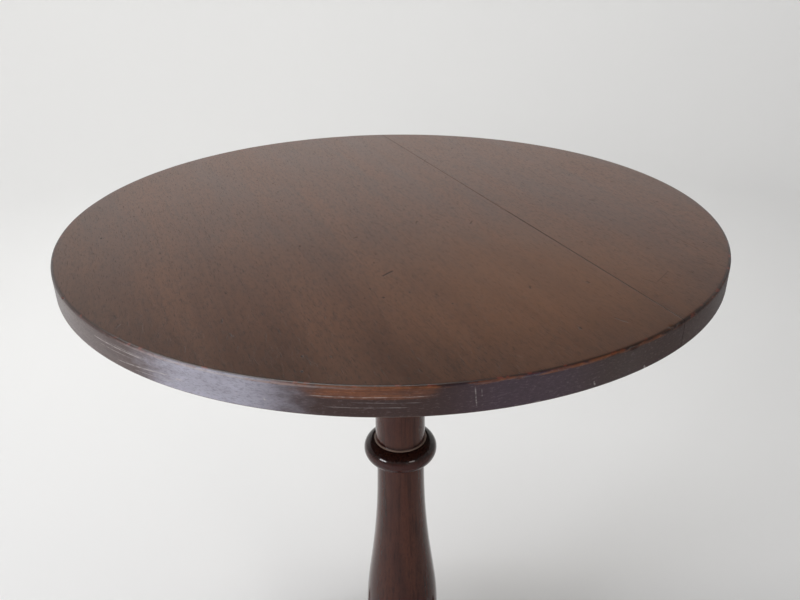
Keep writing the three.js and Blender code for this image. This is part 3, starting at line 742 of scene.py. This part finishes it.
def turned(name: str, outline: Sequence[Point], around: int) -> Mesh:
    """A solid turned about Z.

    Args:
        name: The mesh's name.
        outline: Radius and height of each point in millimetres; it starts and ends on the axis.
        around: Number of sides.

    Returns:
        The mesh.
    """
    clean = [outline[0]]
    for p in outline[1:]:
        if math.dist(p, clean[-1]) > 1e-4:
            clean.append(p)
    inner = clean[1:-1]
    angles = np.linspace(0, 2 * math.pi, around, endpoint=False)
    verts = [(0, 0, clean[0][1])]
    verts += [(r * math.cos(a), r * math.sin(a), z) for r, z in inner for a in angles]
    verts.append((0, 0, clean[-1][1]))
    faces: Faces = []
    for k in range(around):
        n = (k + 1) % around
        faces.append((0, 1 + n, 1 + k))
        for j in range(len(inner) - 1):
            a, b = 1 + j * around, 1 + (j + 1) * around
            faces.append((a + k, a + n, b + n, b + k))
        top = 1 + (len(inner) - 1) * around
        faces.append((top + k, top + n, len(verts) - 1))
    return mesh_of(name, np.array(verts), faces)


def softened(node: str, radius: float) -> Mesh:
    """A copy of a CAD solid with its sharp edges eased.

    Args:
        node: The solid's node.
        radius: How far back each edge is rounded, in millimetres.

    Returns:
        The mesh.
    """
    bm = bmesh.new()
    bm.from_mesh(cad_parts[node].data)
    bmesh.ops.remove_doubles(bm, verts=bm.verts, dist=1e-6)
    bmesh.ops.dissolve_limit(bm, angle_limit=math.radians(1), verts=bm.verts, edges=bm.edges)
    limit = math.radians(40)
    sharp = [e for e in bm.edges if len(e.link_faces) == 2 and e.calc_face_angle(0) > limit]
    bmesh.ops.bevel(
        bm, geom=sharp, offset=radius * MM, segments=3, profile=0.6, affect="EDGES", clamp_overlap=True
    )
    mesh = bpy.data.meshes.new(node + "_eased")
    bm.to_mesh(mesh)
    bm.free()
    return mesh


def reshaped(mesh: Mesh, *steps: tuple[str, dict[str, object]]) -> Mesh:
    """A mesh after a stack of modifiers.

    Args:
        mesh: The mesh to start from.
        steps: Each modifier's type and settings.

    Returns:
        The new mesh; the old one is removed.
    """
    stand = put("stand_in", mesh)
    for kind, settings in steps:
        modifier = stand.modifiers.new(kind.lower(), kind)
        for name, value in settings.items():
            setattr(modifier, name, value)
    evaluated = stand.evaluated_get(bpy.context.evaluated_depsgraph_get())
    shaped = bpy.data.meshes.new_from_object(evaluated)
    bpy.data.objects.remove(stand)
    bpy.data.meshes.remove(mesh)
    return shaped


@dataclass(frozen=True)
class Place:
    """Where a piece belongs: the body that it rides on, its slot and the solids it stands for."""

    body: Body
    slot: str
    nodes: tuple[str, ...]


def show(
    name: str, mesh: Mesh, material: Material, place: Place, smooth_limit: float = 32.0
) -> None:
    """Puts a finished piece in the scene.

    Args:
        name: The piece's name.
        mesh: Its mesh, in metres and in place.
        material: Its finish.
        place: Its body, slot and solids.
        smooth_limit: Edges that turn by more than this many degrees stay crisp.
    """
    mesh.materials.clear()
    mesh.materials.append(material)
    mesh.polygons.foreach_set("use_smooth", [True] * len(mesh.polygons))
    mesh.set_sharp_from_angle(angle=math.radians(smooth_limit))
    piece = put(name, mesh)
    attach(piece, place.body.value)
    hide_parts(*place.nodes)
    LOG.info("%s: %d faces, on %s", name, len(mesh.polygons), place.body.value)


# ---------------------------------------------------------------------------------------------
# The top
# ---------------------------------------------------------------------------------------------


@dataclass(frozen=True)
class Knock:
    """A chip, nick or dent in the edge of the top, in millimetres and degrees."""

    angle: float
    down: float  # below the upper arris, measured along the section
    length: float
    width: float
    depth: float


@dataclass
class Boards:
    """The two boards of the top, with a rounded and knocked rim and an open seam."""

    radius: float = TOP_RADIUS
    surface: float = TOP_SURFACE
    underside: float = TOP_UNDERSIDE
    upper_round: float = 2.2
    lower_round: float = 1.5
    around: int = 1440
    seam_ease: float = 0.25
    knocks: tuple[Knock, ...] = (
        Knock(18.6, 0.5, 7.0, 3.4, 1.5),
        Knock(17.0, -1.5, 5.0, 2.6, 0.9),
        Knock(9.0, 1.0, 8.0, 2.6, 1.3),
        Knock(5.5, 0.0, 3.0, 1.6, 0.6),
        Knock(-7.5, 0.8, 5.0, 2.0, 0.7),
        Knock(-10.5, 0.2, 3.2, 1.4, 0.5),
        Knock(-1.5, 0.5, 3.0, 1.5, 0.5),
        Knock(-77.0, 0.0, 4.0, 2.6, 1.1),
        Knock(-62.0, 0.4, 4.0, 1.6, 0.6),
        Knock(-23.0, 6.0, 26.0, 2.4, 0.5),
        Knock(-12.5, 12.0, 2.2, 7.0, 0.4),
        Knock(-38.0, 12.0, 22.0, 1.2, 0.3),
        Knock(-45.0, 8.0, 26.0, 1.1, 0.3),
        Knock(2.6, 25.0, 4.5, 3.0, 1.1),
        Knock(10.4, 25.5, 3.4, 2.4, 0.9),
        Knock(-5.0, 26.0, 6.0, 2.0, 0.8),
        Knock(-96.0, 25.0, 5.0, 2.4, 0.8),
        Knock(75.0, 0.4, 6.0, 2.4, 0.9),
        Knock(131.0, 0.2, 5.0, 2.8, 1.1),
        Knock(168.0, 24.8, 6.0, 2.4, 0.9),
        Knock(214.0, 0.6, 7.0, 2.6, 1.0),
    )

    def section(self) -> np.ndarray:
        """The section from the middle of the underside round the rim to the middle of the top."""
        foot = self.underside
        flat = self.radius - self.lower_round
        inward = self.radius - self.upper_round
        rings = list(np.linspace(0, flat, 9)[:-1])
        section = [(r, foot) for r in rings]
        section += arc(flat, foot + self.lower_round, self.lower_round, -90, 0, 6)
        low, high = foot + self.lower_round, self.surface - self.upper_round
        section += [(self.radius, z) for z in np.linspace(low, high, 20)[1:-1]]
        section += arc(inward, high, self.upper_round, 0, 90, 10)
        section += [(inward - d, self.surface) for d in (0.8, 1.8, 3.2, 6.0, 12.0)]
        section += [(r, self.surface) for r in np.linspace(inward - 24, 0, 12)]
        return np.array(section)

    def disc(self) -> tuple[np.ndarray, Faces]:
        """The whole top before it is cut along its seam.

        Returns:
            Its points in millimetres, and its faces.
        """
        section = self.section()
        ahead = np.roll(section, -1, axis=0)
        ahead[-1] = section[-1]
        behind = np.roll(section, 1, axis=0)
        behind[0] = section[0]
        along = ahead - behind
        along /= np.linalg.norm(along, axis=1)[:, None]
        out = np.stack([along[:, 1], -along[:, 0]], axis=1)
        travel = np.concatenate([[0], np.cumsum(np.linalg.norm(np.diff(section, axis=0), axis=1))])
        # Zero on the middle of the upper arris, and growing down the edge.
        corner = int(np.argmin(np.abs(section[:, 0] - self.radius + 0.3 * self.upper_round)
                               + np.abs(section[:, 1] - self.surface + 0.3 * self.upper_round)))
        down = travel[corner] - travel
        angles = np.linspace(0, 2 * math.pi, self.around, endpoint=False)
        dent = np.zeros((self.around, len(section)))
        for knock in self.knocks:
            gap = np.degrees(angles) - knock.angle
            gap = np.radians((gap + 180) % 360 - 180) * self.radius
            u = gap / (knock.length / 2)
            v = (down - knock.down) / (knock.width / 2)
            # An uneven outline, so that no two knocks look alike.
            ragged = 1 + 0.25 * np.sin(3.1 * u[:, None] + knock.angle) * np.cos(2.3 * v[None, :])
            near = np.hypot(u[:, None], v[None, :]) * ragged
            dent += knock.depth * np.clip(1 - near, 0, 1) ** 0.6
        rng = np.random.default_rng(7)
        wander = np.zeros(self.around)
        for wave in range(3, 60):
            phase, size = rng.uniform(0, 2 * math.pi), rng.normal() / wave**0.8
            wander += size * np.cos(wave * angles + phase)
        wear_and_highlight = np.clip(0.14 + 0.07 * wander, 0, 0.45)
        corner_share = np.clip(1 - np.abs(down) / 4.0, 0, 1)
        dent += wear_and_highlight[:, None] * corner_share[None, :]
        r = section[None, :, 0] - out[None, :, 0] * dent
        z = section[None, :, 1] - out[None, :, 1] * dent
        verts = np.stack([r * np.cos(angles)[:, None], r * np.sin(angles)[:, None], z], axis=2)
        count = len(section)
        faces = []
        for k in range(self.around):
            n = (k + 1) % self.around
            for j in range(count - 1):
                faces.append((k * count + j, n * count + j, n * count + j + 1, k * count + j + 1))
        return verts.reshape(-1, 3), faces

    def build(self) -> None:
        """Makes and places both boards."""
        whole = mesh_of("whole_top", *self.disc())
        wood = TOP_WOOD.material()
        seam = {
            "top_board_wide": (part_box("top_board_wide")[1].y, 1),
            "top_board_narrow": (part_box("top_board_narrow")[0].y, -1),
        }
        for node, (edge, side) in seam.items():
            # The seam has opened a little towards the +X end.
            square = Vector((side * 0.0004, 1, 0)).normalized() * side
            ease = (square + Vector((0, 0, 1))).normalized()
            at = Vector((0, edge, 0))
            lip = Vector((0, edge - side * self.seam_ease * MM, self.surface * MM))
            board = whole.copy()
            with worked(board) as bm:
                saw(bm, [(at, square), (lip, ease)])
                bmesh.ops.recalc_face_normals(bm, faces=bm.faces)
            place = Place(Body.TOP, "polished_mahogany_top", (node,))
            show(node.replace("top_", "") + "_of_top", board, wood, place)
        bpy.data.meshes.remove(whole)


# ---------------------------------------------------------------------------------------------
# Screws
# ---------------------------------------------------------------------------------------------


@dataclass(frozen=True)
class Screw:
    """A slotted countersunk wood screw, in millimetres."""

    head: float
    shank: float
    head_height: float
    length: float
    slot_width: float = 0.9
    slot_depth: float = 1.1
    thread_pitch: float = 2.2

    def outline(self) -> list[Point]:
        """Head down to the point, with the thread as rings."""
        rim, root, plain = 0.5, self.shank * 0.74, self.length * 0.35
        points = [(0, 0), (self.head - 0.3, 0), (self.head, 0.2), (self.head, rim)]
        points += [(self.shank, self.head_height), (self.shank, plain)]
        at, tip = plain, self.length - 2 * self.shank
        while at + self.thread_pitch < tip:
            points += [(root, at + self.thread_pitch * share) for share in (0.25, 0.7)]
            at += self.thread_pitch
            points.append((self.shank, at))
        return points + [(root, tip), (0, self.length)]

    def mesh(self, name: str, head: Vector, drive: Vector, turn: float) -> Mesh:
        """A screw in its place.

        Args:
            name: The mesh's name.
            head: The middle of the head's face, in metres.
            drive: The way that it is driven.
            turn: How the slot is left, in radians.

        Returns:
            The mesh.
        """
        body = turned(name, self.outline(), 28)
        slot = Vector((self.head * 3, self.slot_width, self.slot_depth * 2)) * MM
        blade_mesh = bpy.data.meshes.new("blade")
        with worked(blade_mesh) as bm:
            bmesh.ops.create_cube(bm, size=1)
            bmesh.ops.scale(bm, vec=slot, verts=bm.verts)
        blade = put("blade", blade_mesh)
        body = reshaped(body, ("BOOLEAN", {"object": blade, "operation": "DIFFERENCE", "solver": "EXACT"}))
        bpy.data.objects.remove(blade)
        bpy.data.meshes.remove(blade_mesh)
        face = Vector((0, 0, 1)).rotation_difference(drive).to_matrix().to_4x4()
        body.transform(Matrix.Translation(head) @ face @ Matrix.Rotation(turn, 4, "Z"))
        body.name = name
        return body


@dataclass
class ScrewSet:
    """Every screw of one kind."""

    prefix: str
    screw: Screw
    drive: Vector
    body: Body
    slot: str
    finish: OldMetal

    def build(self) -> None:
        """Makes and places the screws, each with its slot left as it stopped."""
        metal = self.finish.material()
        names = sorted(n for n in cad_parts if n.startswith(self.prefix))
        for i, node in enumerate(names):
            head = middle_of(node) - self.drive * self.screw.length * MM / 2
            mesh = self.screw.mesh(node, head, self.drive, 0.5 + 2.4 * i)
            show(node + "_threaded", mesh, metal, Place(self.body, self.slot, (node,)))


# ---------------------------------------------------------------------------------------------
# Column and legs
# ---------------------------------------------------------------------------------------------


@dataclass
class Column:
    """The turned column: drum, collar, vase, ring, shaft and the collar under the block."""

    drum_radius: float = 36.0
    drum_bottom: float = 62.0
    drum_top: float = 144.0
    wrist: float = 26.0
    vase_radius: float = 43.4
    vase_height: float = 202.0
    neck: float = 26.4  # under the ring
    ring_height: float = RING_HEIGHT
    ring_radius: float = RING_RADIUS
    shaft_foot: float = 27.4  # on the ring
    shaft_top: float = 25.4
    collar: float = 31.0
    tenon: float = 17.0
    block_bottom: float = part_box("block")[0].z / MM
    tenon_top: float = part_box("column")[1].z / MM
    around: int = 160

    def outline(self) -> list[Point]:
        """Radius and height up the column, with small fillets in its corners."""
        lip, bead = 3.0, 5.0
        path: list[Point] = [(0, self.drum_bottom), (self.drum_radius - lip, self.drum_bottom)]
        path += arc(self.drum_radius - lip, self.drum_bottom + lip, lip, -90, 0, 6)
        path += arc(self.drum_radius - lip, self.drum_top - lip, lip, 0, 90, 6)
        path += [(self.wrist + bead + 0.8, self.drum_top)]
        path += arc(self.wrist + bead, self.drum_top + bead, bead, -90, 90, 20)
        foot = self.drum_top + 2 * bead + lip
        path += arc(self.wrist + 1.2, foot - lip + 1.2, 1.2, 270, 180, 4)
        belly = self.vase_height - foot
        path += bezier(
            [
                (self.wrist, foot),
                (self.wrist + 8, foot + 1),
                (self.vase_radius, self.vase_height - belly * 0.6),
                (self.vase_radius, self.vase_height),
            ],
            26,
        )
        neck_foot = self.ring_height - self.ring_radius
        ogee = neck_foot - self.vase_height
        path += bezier(
            [
                (self.vase_radius, self.vase_height),
                (self.vase_radius, self.vase_height + ogee * 0.27),
                (self.neck, neck_foot - ogee * 0.56),
                (self.neck, neck_foot - 1.0),
            ],
            60,
        )
        path += arc(self.neck + 1.0, neck_foot - 1.0, 1.0, 180, 90, 4)
        path += arc(self.shaft_foot, self.ring_height, self.ring_radius, -88, 74, 40)
        # A small square fillet where the shaft leaves the ring; its edge catches a line of light.
        top = self.ring_height + self.ring_radius
        path += [(self.shaft_foot + 1.5, top - 0.5), (self.shaft_foot + 1.5, top + 0.5)]
        path += arc(self.shaft_foot + 1.1, top + 0.5, 0.4, 0, 90, 4)
        path += arc(self.shaft_foot + 0.8, top + 1.7, 0.8, 270, 180, 4)
        shaft_foot = top + 3
        collar_foot = self.block_bottom - 0.3 - 14
        path += [
            (
                self.shaft_foot + (self.shaft_top - self.shaft_foot) * t,
                shaft_foot + (collar_foot - 16 - shaft_foot) * t,
            )
            for t in np.linspace(0, 1, 15)
        ]
        path += arc(self.shaft_top + 0.5, collar_foot - 12, 4, -90, 90, 16)
        path += [(self.shaft_top, collar_foot - 7.4), (self.shaft_top, collar_foot - 6)]
        path += bezier(
            [
                (self.shaft_top, collar_foot - 6),
                (self.shaft_top + 1, collar_foot),
                (self.collar - 1.5, collar_foot + 4),
            ],
            12,
        )
        path += arc(self.collar - 1.5, collar_foot + 5.5, 1.5, -60, 0, 4)
        path += [(self.collar, self.block_bottom - 1.0), (self.collar - 0.7, self.block_bottom - 0.3)]
        path += [(self.tenon, self.block_bottom - 0.3), (self.tenon, self.tenon_top), (0, self.tenon_top)]
        return path

    def build(self, wood: Material) -> None:
        """Makes and places the column."""
        axis = middle_of("column")
        mesh = turned("column_turned", self.outline(), self.around)
        mesh.transform(Matrix.Translation((axis.x, axis.y, 0)))
        show("turned_column", mesh, wood, Place(Body.BASE, "turned_mahogany", ("column",)), 50)


@dataclass
class Leg:
    """A cabriole leg with a pad foot, shaped as one piece of wood."""

    top: float = 136.0
    bottom: float = 62.0
    flat: float = 33.3
    reach: float = 238.0
    seat: float = 23.0
    pad_radius: float = 26.0
    pad_height: float = 12.0
    spider_reach: float = 58.3
    widths: tuple[float, ...] = (32, 34, 38, 39, 35, 29, 25, 24)
    sections: int = 96
    around: int = 56
    voxel: float = 1.3

    def edges(self) -> tuple[list[Point], list[Point]]:
        """The upper and the lower edge, as points along the leg and up from the floor."""
        x0, z0, rise = self.flat, self.bottom, self.top
        run = self.reach - x0
        upper = [(0, 1), (0.13, 1.008), (0.29, 0.936), (0.46, 0.75), (0.63, 0.5), (0.79, 0.285),
                 (0.91, 0.172), (1.03, 0.115)]
        lower = [
            (x0, z0),
            (x0 + self.seat, z0),
            (x0 + self.seat + run * 0.1, z0 + rise * 0.115),
            (x0 + run * 0.33, z0 + rise * 0.145),
            (x0 + run * 0.45, z0 + rise * 0.065),
            (x0 + run * 0.59, z0 - rise * 0.12),
            (x0 + run * 0.745, rise * 0.125),
            (x0 + run * 0.88, rise * 0.05),
            (x0 + run * 1.01, rise * 0.03),
        ]
        return [(x0 + run * a, rise * b) for a, b in upper], lower

    def loft(self) -> tuple[np.ndarray, Faces]:
        """The leg's skin: squarish sections by the column that turn round at the ankle.

        Returns:
            Its points in millimetres, and its faces.
        """
        upper, lower = self.edges()
        spread = [(i / (len(self.widths) - 1), w) for i, w in enumerate(self.widths)]
        verts = []
        for s in range(self.sections + 1):
            t = s / self.sections
            high, low = spline(upper, t), spline(lower, t)
            half = spline(spread, t)[1] / 2
            power = 0.42 + (0.95 - 0.42) * min(1, t * 1.5)
            for k in range(self.around):
                angle = 2 * math.pi * k / self.around
                up = math.copysign(abs(math.sin(angle)) ** power, math.sin(angle))
                side = math.copysign(abs(math.cos(angle)) ** power, math.cos(angle))
                middle = (high + low) / 2 + up * (high - low) / 2
                verts.append((middle[0], side * half, middle[1]))
        faces: Faces = []
        for s in range(self.sections):
            for k in range(self.around):
                n = (k + 1) % self.around
                a, b = s * self.around, (s + 1) * self.around
                faces.append((a + k, b + k, b + n, a + n))
        faces.append(tuple(range(self.around)))
        faces.append(tuple(self.sections * self.around + k for k in reversed(range(self.around))))
        return np.array(verts), faces

    def build(self, wood: Material) -> None:
        """Makes one leg and places its three copies."""
        shin = mesh_of("shin", *self.loft())
        edge = 3.0
        pad = turned(
            "pad",
            [(0, 0.0), (self.pad_radius - edge, 0.0)]
            + arc(self.pad_radius - edge, edge, edge, -90, 0, 6)
            + bezier(
                [
                    (self.pad_radius, edge),
                    (self.pad_radius - 0.5, self.pad_height * 0.75),
                    (self.pad_radius * 0.75, self.pad_height * 0.85),
                    (self.pad_radius * 0.4, self.pad_height),
                ],
                10,
            )
            + [(0, self.pad_height)],
            72,
        )
        pad.transform(Matrix.Translation((self.reach * MM, 0, 0)))
        with worked(shin) as bm:
            bm.from_mesh(pad)
        bpy.data.meshes.remove(pad)
        leg = reshaped(
            shin,
            ("REMESH", {"mode": "VOXEL", "voxel_size": self.voxel * MM, "adaptivity": 0.0}),
            ("SMOOTH", {"factor": 0.5, "iterations": 6}),
        )
        self.trim(leg)
        middle = middle_of("column")
        axis = Matrix.Translation((middle.x, middle.y, 0))
        for i, name in enumerate(["leg_back", "leg_front_left", "leg_front_right"]):
            copy = leg.copy()
            copy.transform(axis @ Matrix.Rotation(math.pi / 2 + i * 2 * math.pi / 3, 4, "Z"))
            show("cabriole_" + name, copy, wood, Place(Body.BASE, "turned_mahogany", (name,)), 50)
        bpy.data.meshes.remove(leg)

    def trim(self, mesh: Mesh) -> None:
        """Saws the leg flat on the floor and on its face to the column, and fits the iron plate."""
        floor = (Vector((0, 0, 0)), Vector((0, 0, -1)))
        column_face = (Vector((self.flat * MM, 0, 0)), Vector((-1, 0, 0)))
        with worked(mesh) as bm:
            saw(bm, [floor, column_face])
            for v in bm.verts:
                if v.co.x < self.spider_reach * MM and v.co.z < self.bottom * MM:
                    v.co.z = self.bottom * MM
            bmesh.ops.recalc_face_normals(bm, faces=bm.faces)


# ---------------------------------------------------------------------------------------------
# Block, bearers and fittings
# ---------------------------------------------------------------------------------------------


@dataclass(frozen=True)
class Eased:
    """A sawn, planed or cast piece that keeps the solid's shape, with its edges eased."""

    node: str
    title: str
    body: Body
    slot: str
    radius: float

    def build(self, material: Material) -> None:
        """Makes and places the piece."""
        place = Place(self.body, self.slot, (self.node,))
        show(self.title, softened(self.node, self.radius), material, place)


@dataclass
class Underframe:
    """The block on the column, its pins and wedge, and the two bearers that turn on the pins."""

    pin_radius: float = 8.0
    pin_end: float = 1.5

    def build(self) -> None:
        """Makes and places every piece of the underframe."""
        plain = "plain_mahogany"
        Eased("block", "pivot_block", Body.BASE, plain, 1.2).build(BLOCK_WOOD.material())
        bearer = BEARER_WOOD.material()
        Eased("bearer_left", "left_bearer", Body.TOP, plain, 1.2).build(bearer)
        Eased("bearer_right", "right_bearer", Body.TOP, plain, 1.2).build(bearer)
        oak = OAK.material()
        for side in ("left", "right"):
            node = "pivot_pin_" + side
            low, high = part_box(node)
            length = (high.x - low.x) / MM
            end = self.pin_end
            outline = [(0, 0), (self.pin_radius - end, 0), (self.pin_radius, end),
                       (self.pin_radius, length - end), (self.pin_radius - end, length), (0, length)]
            mesh = turned(node, outline, 48)
            middle = middle_of(node)
            lying = Matrix.Rotation(math.pi / 2, 4, "Y")
            mesh.transform(Matrix.Translation((low.x, middle.y, middle.z)) @ lying)
            show("oak_" + node, mesh, oak, Place(Body.BASE, "oak", (node,)))
        Eased("tenon_wedge", "oak_tenon_wedge", Body.BASE, "oak", 0.2).build(oak)


@dataclass
class Catch:
    """The brass catch under the top, and the keep let into the block."""

    knob_radius: float = 7.0
    stem: float = 2.2
    drop: float = 12.0

    def build(self) -> None:
        """Makes and places the catch, its knob and its keep."""
        brass = BRASS.material()
        slot = "aged_brass"
        Eased("catch_plate", "catch_base_plate", Body.TOP, slot, 0.35).build(brass)
        Eased("catch_case", "catch_cover", Body.TOP, slot, 0.5).build(brass)
        Eased("catch_bolt", "catch_sliding_bolt", Body.CATCH, slot, 0.3).build(brass)
        Eased("keep_plate", "keep_in_block", Body.BASE, slot, 0.25).build(brass)
        Eased("catch_leaf_spring", "bolt_leaf_spring", Body.CATCH, "spring_steel", 0.08).build(
            SPRING_STEEL.material()
        )
        low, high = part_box("catch_knob")
        middle = middle_of("catch_knob")
        tall = (high.z - low.z) / MM
        r = self.knob_radius
        outline = [(0.0, 0.0)] + arc(r - 2, 2, 2, -90, 0, 8) + arc(r - 2, 3, 2, 0, 75, 8)
        outline += bezier(
            [(r - 1.5, 5.0), (self.stem + 0.6, 5.4), (self.stem, 6.4), (self.stem, self.drop - 4)], 8
        )
        outline += [(self.stem, tall), (0.0, tall)]
        knob = turned("knob", outline, 56)
        knob.transform(Matrix.Translation((middle.x, middle.y, low.z)))
        show("catch_finger_knob", knob, brass, Place(Body.CATCH, slot, ("catch_knob",)))


# ---------------------------------------------------------------------------------------------
# Studio
# ---------------------------------------------------------------------------------------------


@dataclass(frozen=True)
class SoftLight:
    """A soft lamp: where it stands round the camera's side, how high, how wide and how bright."""

    name: str
    azimuth: float  # degrees, 0 in front of the table and 90 on its +X side
    distance: float
    height: float
    width: float
    tall: float
    power: float
    colour: str = "ffffff"
    aim: tuple[float, float, float] = (0.0, 0.0, 0.55)

    def build(self) -> None:
        """Hangs the lamp and turns it to what it lights."""
        a = math.radians(self.azimuth)
        lamp = bpy.data.lights.new(self.name, "AREA")
        lamp.shape = "RECTANGLE"
        lamp.size, lamp.size_y = self.width, self.tall
        lamp.energy = self.power
        lamp.color = linear(self.colour)[:3]
        stand = put(self.name, lamp)
        stand.location = (self.distance * math.sin(a), -self.distance * math.cos(a), self.height)
        stand.rotation_euler = (Vector(self.aim) - stand.location).to_track_quat("-Z", "Y").to_euler()


@dataclass
class Studio:
    """A wide pale floor, soft lamps, and the camera a little above the top, close to it."""

    camera_azimuth: float = 67.89
    camera_distance: float = 0.6741
    camera_height: float = 0.9649
    yaw: float = 0.61
    pitch: float = 26.59
    roll: float = -0.6
    lens: float = 33.75
    floor: str = "ececec"
    sky: str = "e4e4e4"
    sky_strength: float = 0.075
    sweep: tuple[float, float, float] = (2600.0, 1200.0, 2300.0)  # level floor, bend, top of wall
    around: int = 96
    lamps: tuple[SoftLight, ...] = (
        SoftLight("window_left", 14.0, 2.3, 0.95, 0.8, 0.4, 19.0, "fbfbff"),
        SoftLight("window_right", 102.0, 2.3, 1.3, 0.6, 0.35, 4.5, "fff8f2"),
        SoftLight("lamp_above", 320.0, 1.2, 3.2, 2.6, 2.6, 48.0, "ffffff"),
        SoftLight("wall_washer", 290.0, 0.9, 2.9, 2.2, 1.2, 61.0, "fffefa", (-3.0, 0.7, 1.4)),
    )

    def camera(self) -> None:
        """Sets the camera on its stand and makes it the scene's."""
        a = math.radians(self.camera_azimuth)
        yaw, pitch, roll = (math.radians(v) for v in (self.yaw, self.pitch, self.roll))
        ahead = Vector((math.sin(yaw) * math.cos(pitch), math.cos(yaw) * math.cos(pitch), -math.sin(pitch)))
        right = Vector((math.cos(yaw), -math.sin(yaw), 0))
        up = right.cross(ahead)
        across = right * math.cos(roll) + up * math.sin(roll)
        above = up * math.cos(roll) - right * math.sin(roll)
        turn = Matrix.Rotation(a, 3, "Z")
        axes = Matrix((turn @ across, turn @ above, turn @ -ahead)).transposed()
        data = bpy.data.cameras.new("camera")
        data.lens, data.sensor_width = self.lens, 36.0
        camera = put("camera", data)
        away = self.camera_distance
        stand = Matrix.Translation((away * math.sin(a), -away * math.cos(a), self.camera_height))
        camera.matrix_world = stand @ axes.to_4x4()
        bpy.context.scene.camera = camera

    def build(self) -> None:
        """Makes the camera, floor, sky and lamps."""
        self.camera()
        bpy.context.scene.view_settings.view_transform = "Standard"
        r = Recipe("matt_painted_floor")
        tone = r.noise(r.grid((900, 900, 900)), 1.0)
        colour = r.tint(linear(self.floor), "d4d4d8", tone, 0.12)
        paint = r.finish(colour, 0.85, 0.0)
        flat, bend, wall = self.sweep
        outline = [(flat / 2, 0.0)] + arc(flat, bend, bend, -90, 0, 16) + [(flat + bend, wall)]
        angles = np.linspace(0, 2 * math.pi, self.around, endpoint=False)
        verts = [(0.0, 0.0, 0.0)]
        verts += [(r * math.cos(a) * MM, r * math.sin(a) * MM, z * MM) for r, z in outline for a in angles]
        steps = [(k, (k + 1) % self.around) for k in range(self.around)]
        faces: Faces = [(0, 1 + k, 1 + n) for k, n in steps]
        for j in range(len(outline) - 1):
            near, far = 1 + j * self.around, 1 + (j + 1) * self.around
            faces += [(near + k, far + k, far + n, near + n) for k, n in steps]
        mesh = bpy.data.meshes.new("floor")
        mesh.from_pydata(verts, [], faces)
        mesh.polygons.foreach_set("use_smooth", [True] * len(faces))
        mesh.materials.append(paint)
        put("floor", mesh)
        world = bpy.data.worlds.new("studio")
        bpy.context.scene.world = world
        world.use_nodes = True
        back = world.node_tree.nodes["Background"]
        back.inputs["Color"].default_value = linear(self.sky)
        back.inputs["Strength"].default_value = self.sky_strength
        for lamp in self.lamps:
            lamp.build()


def main() -> None:
    """Builds the table and the studio round it."""
    logging.basicConfig(level=logging.INFO, format="%(name)s: %(message)s")
    Studio().build()
    Boards().build()
    Underframe().build()
    turned_wood = TURNED_WOOD.material()
    Column().build(turned_wood)
    Leg().build(turned_wood)
    Eased("spider_plate", "iron_spider_plate", Body.BASE, "wrought_iron", 0.5).build(IRON.material())
    Catch().build()
    up, into_block = Vector((0, 0, 1)), Vector((0, 1, 0))
    screws = (
        ScrewSet("bearer_screw", Screw(4.8, 2.4, 2.8, 43), up, Body.TOP, "steel_screws", STEEL),
        ScrewSet("catch_screw", Screw(3.1, 1.5, 1.8, 11), up, Body.TOP, "aged_brass", BRASS),
        ScrewSet("keep_screw", Screw(2.6, 1.3, 1.5, 12), into_block, Body.BASE, "aged_brass", BRASS),
        ScrewSet("spider_screw", Screw(3.8, 1.9, 2.2, 20), up, Body.BASE, "steel_screws", STEEL),
    )
    for kind in screws:
        kind.build()


if __name__ == "__main__":
    main()
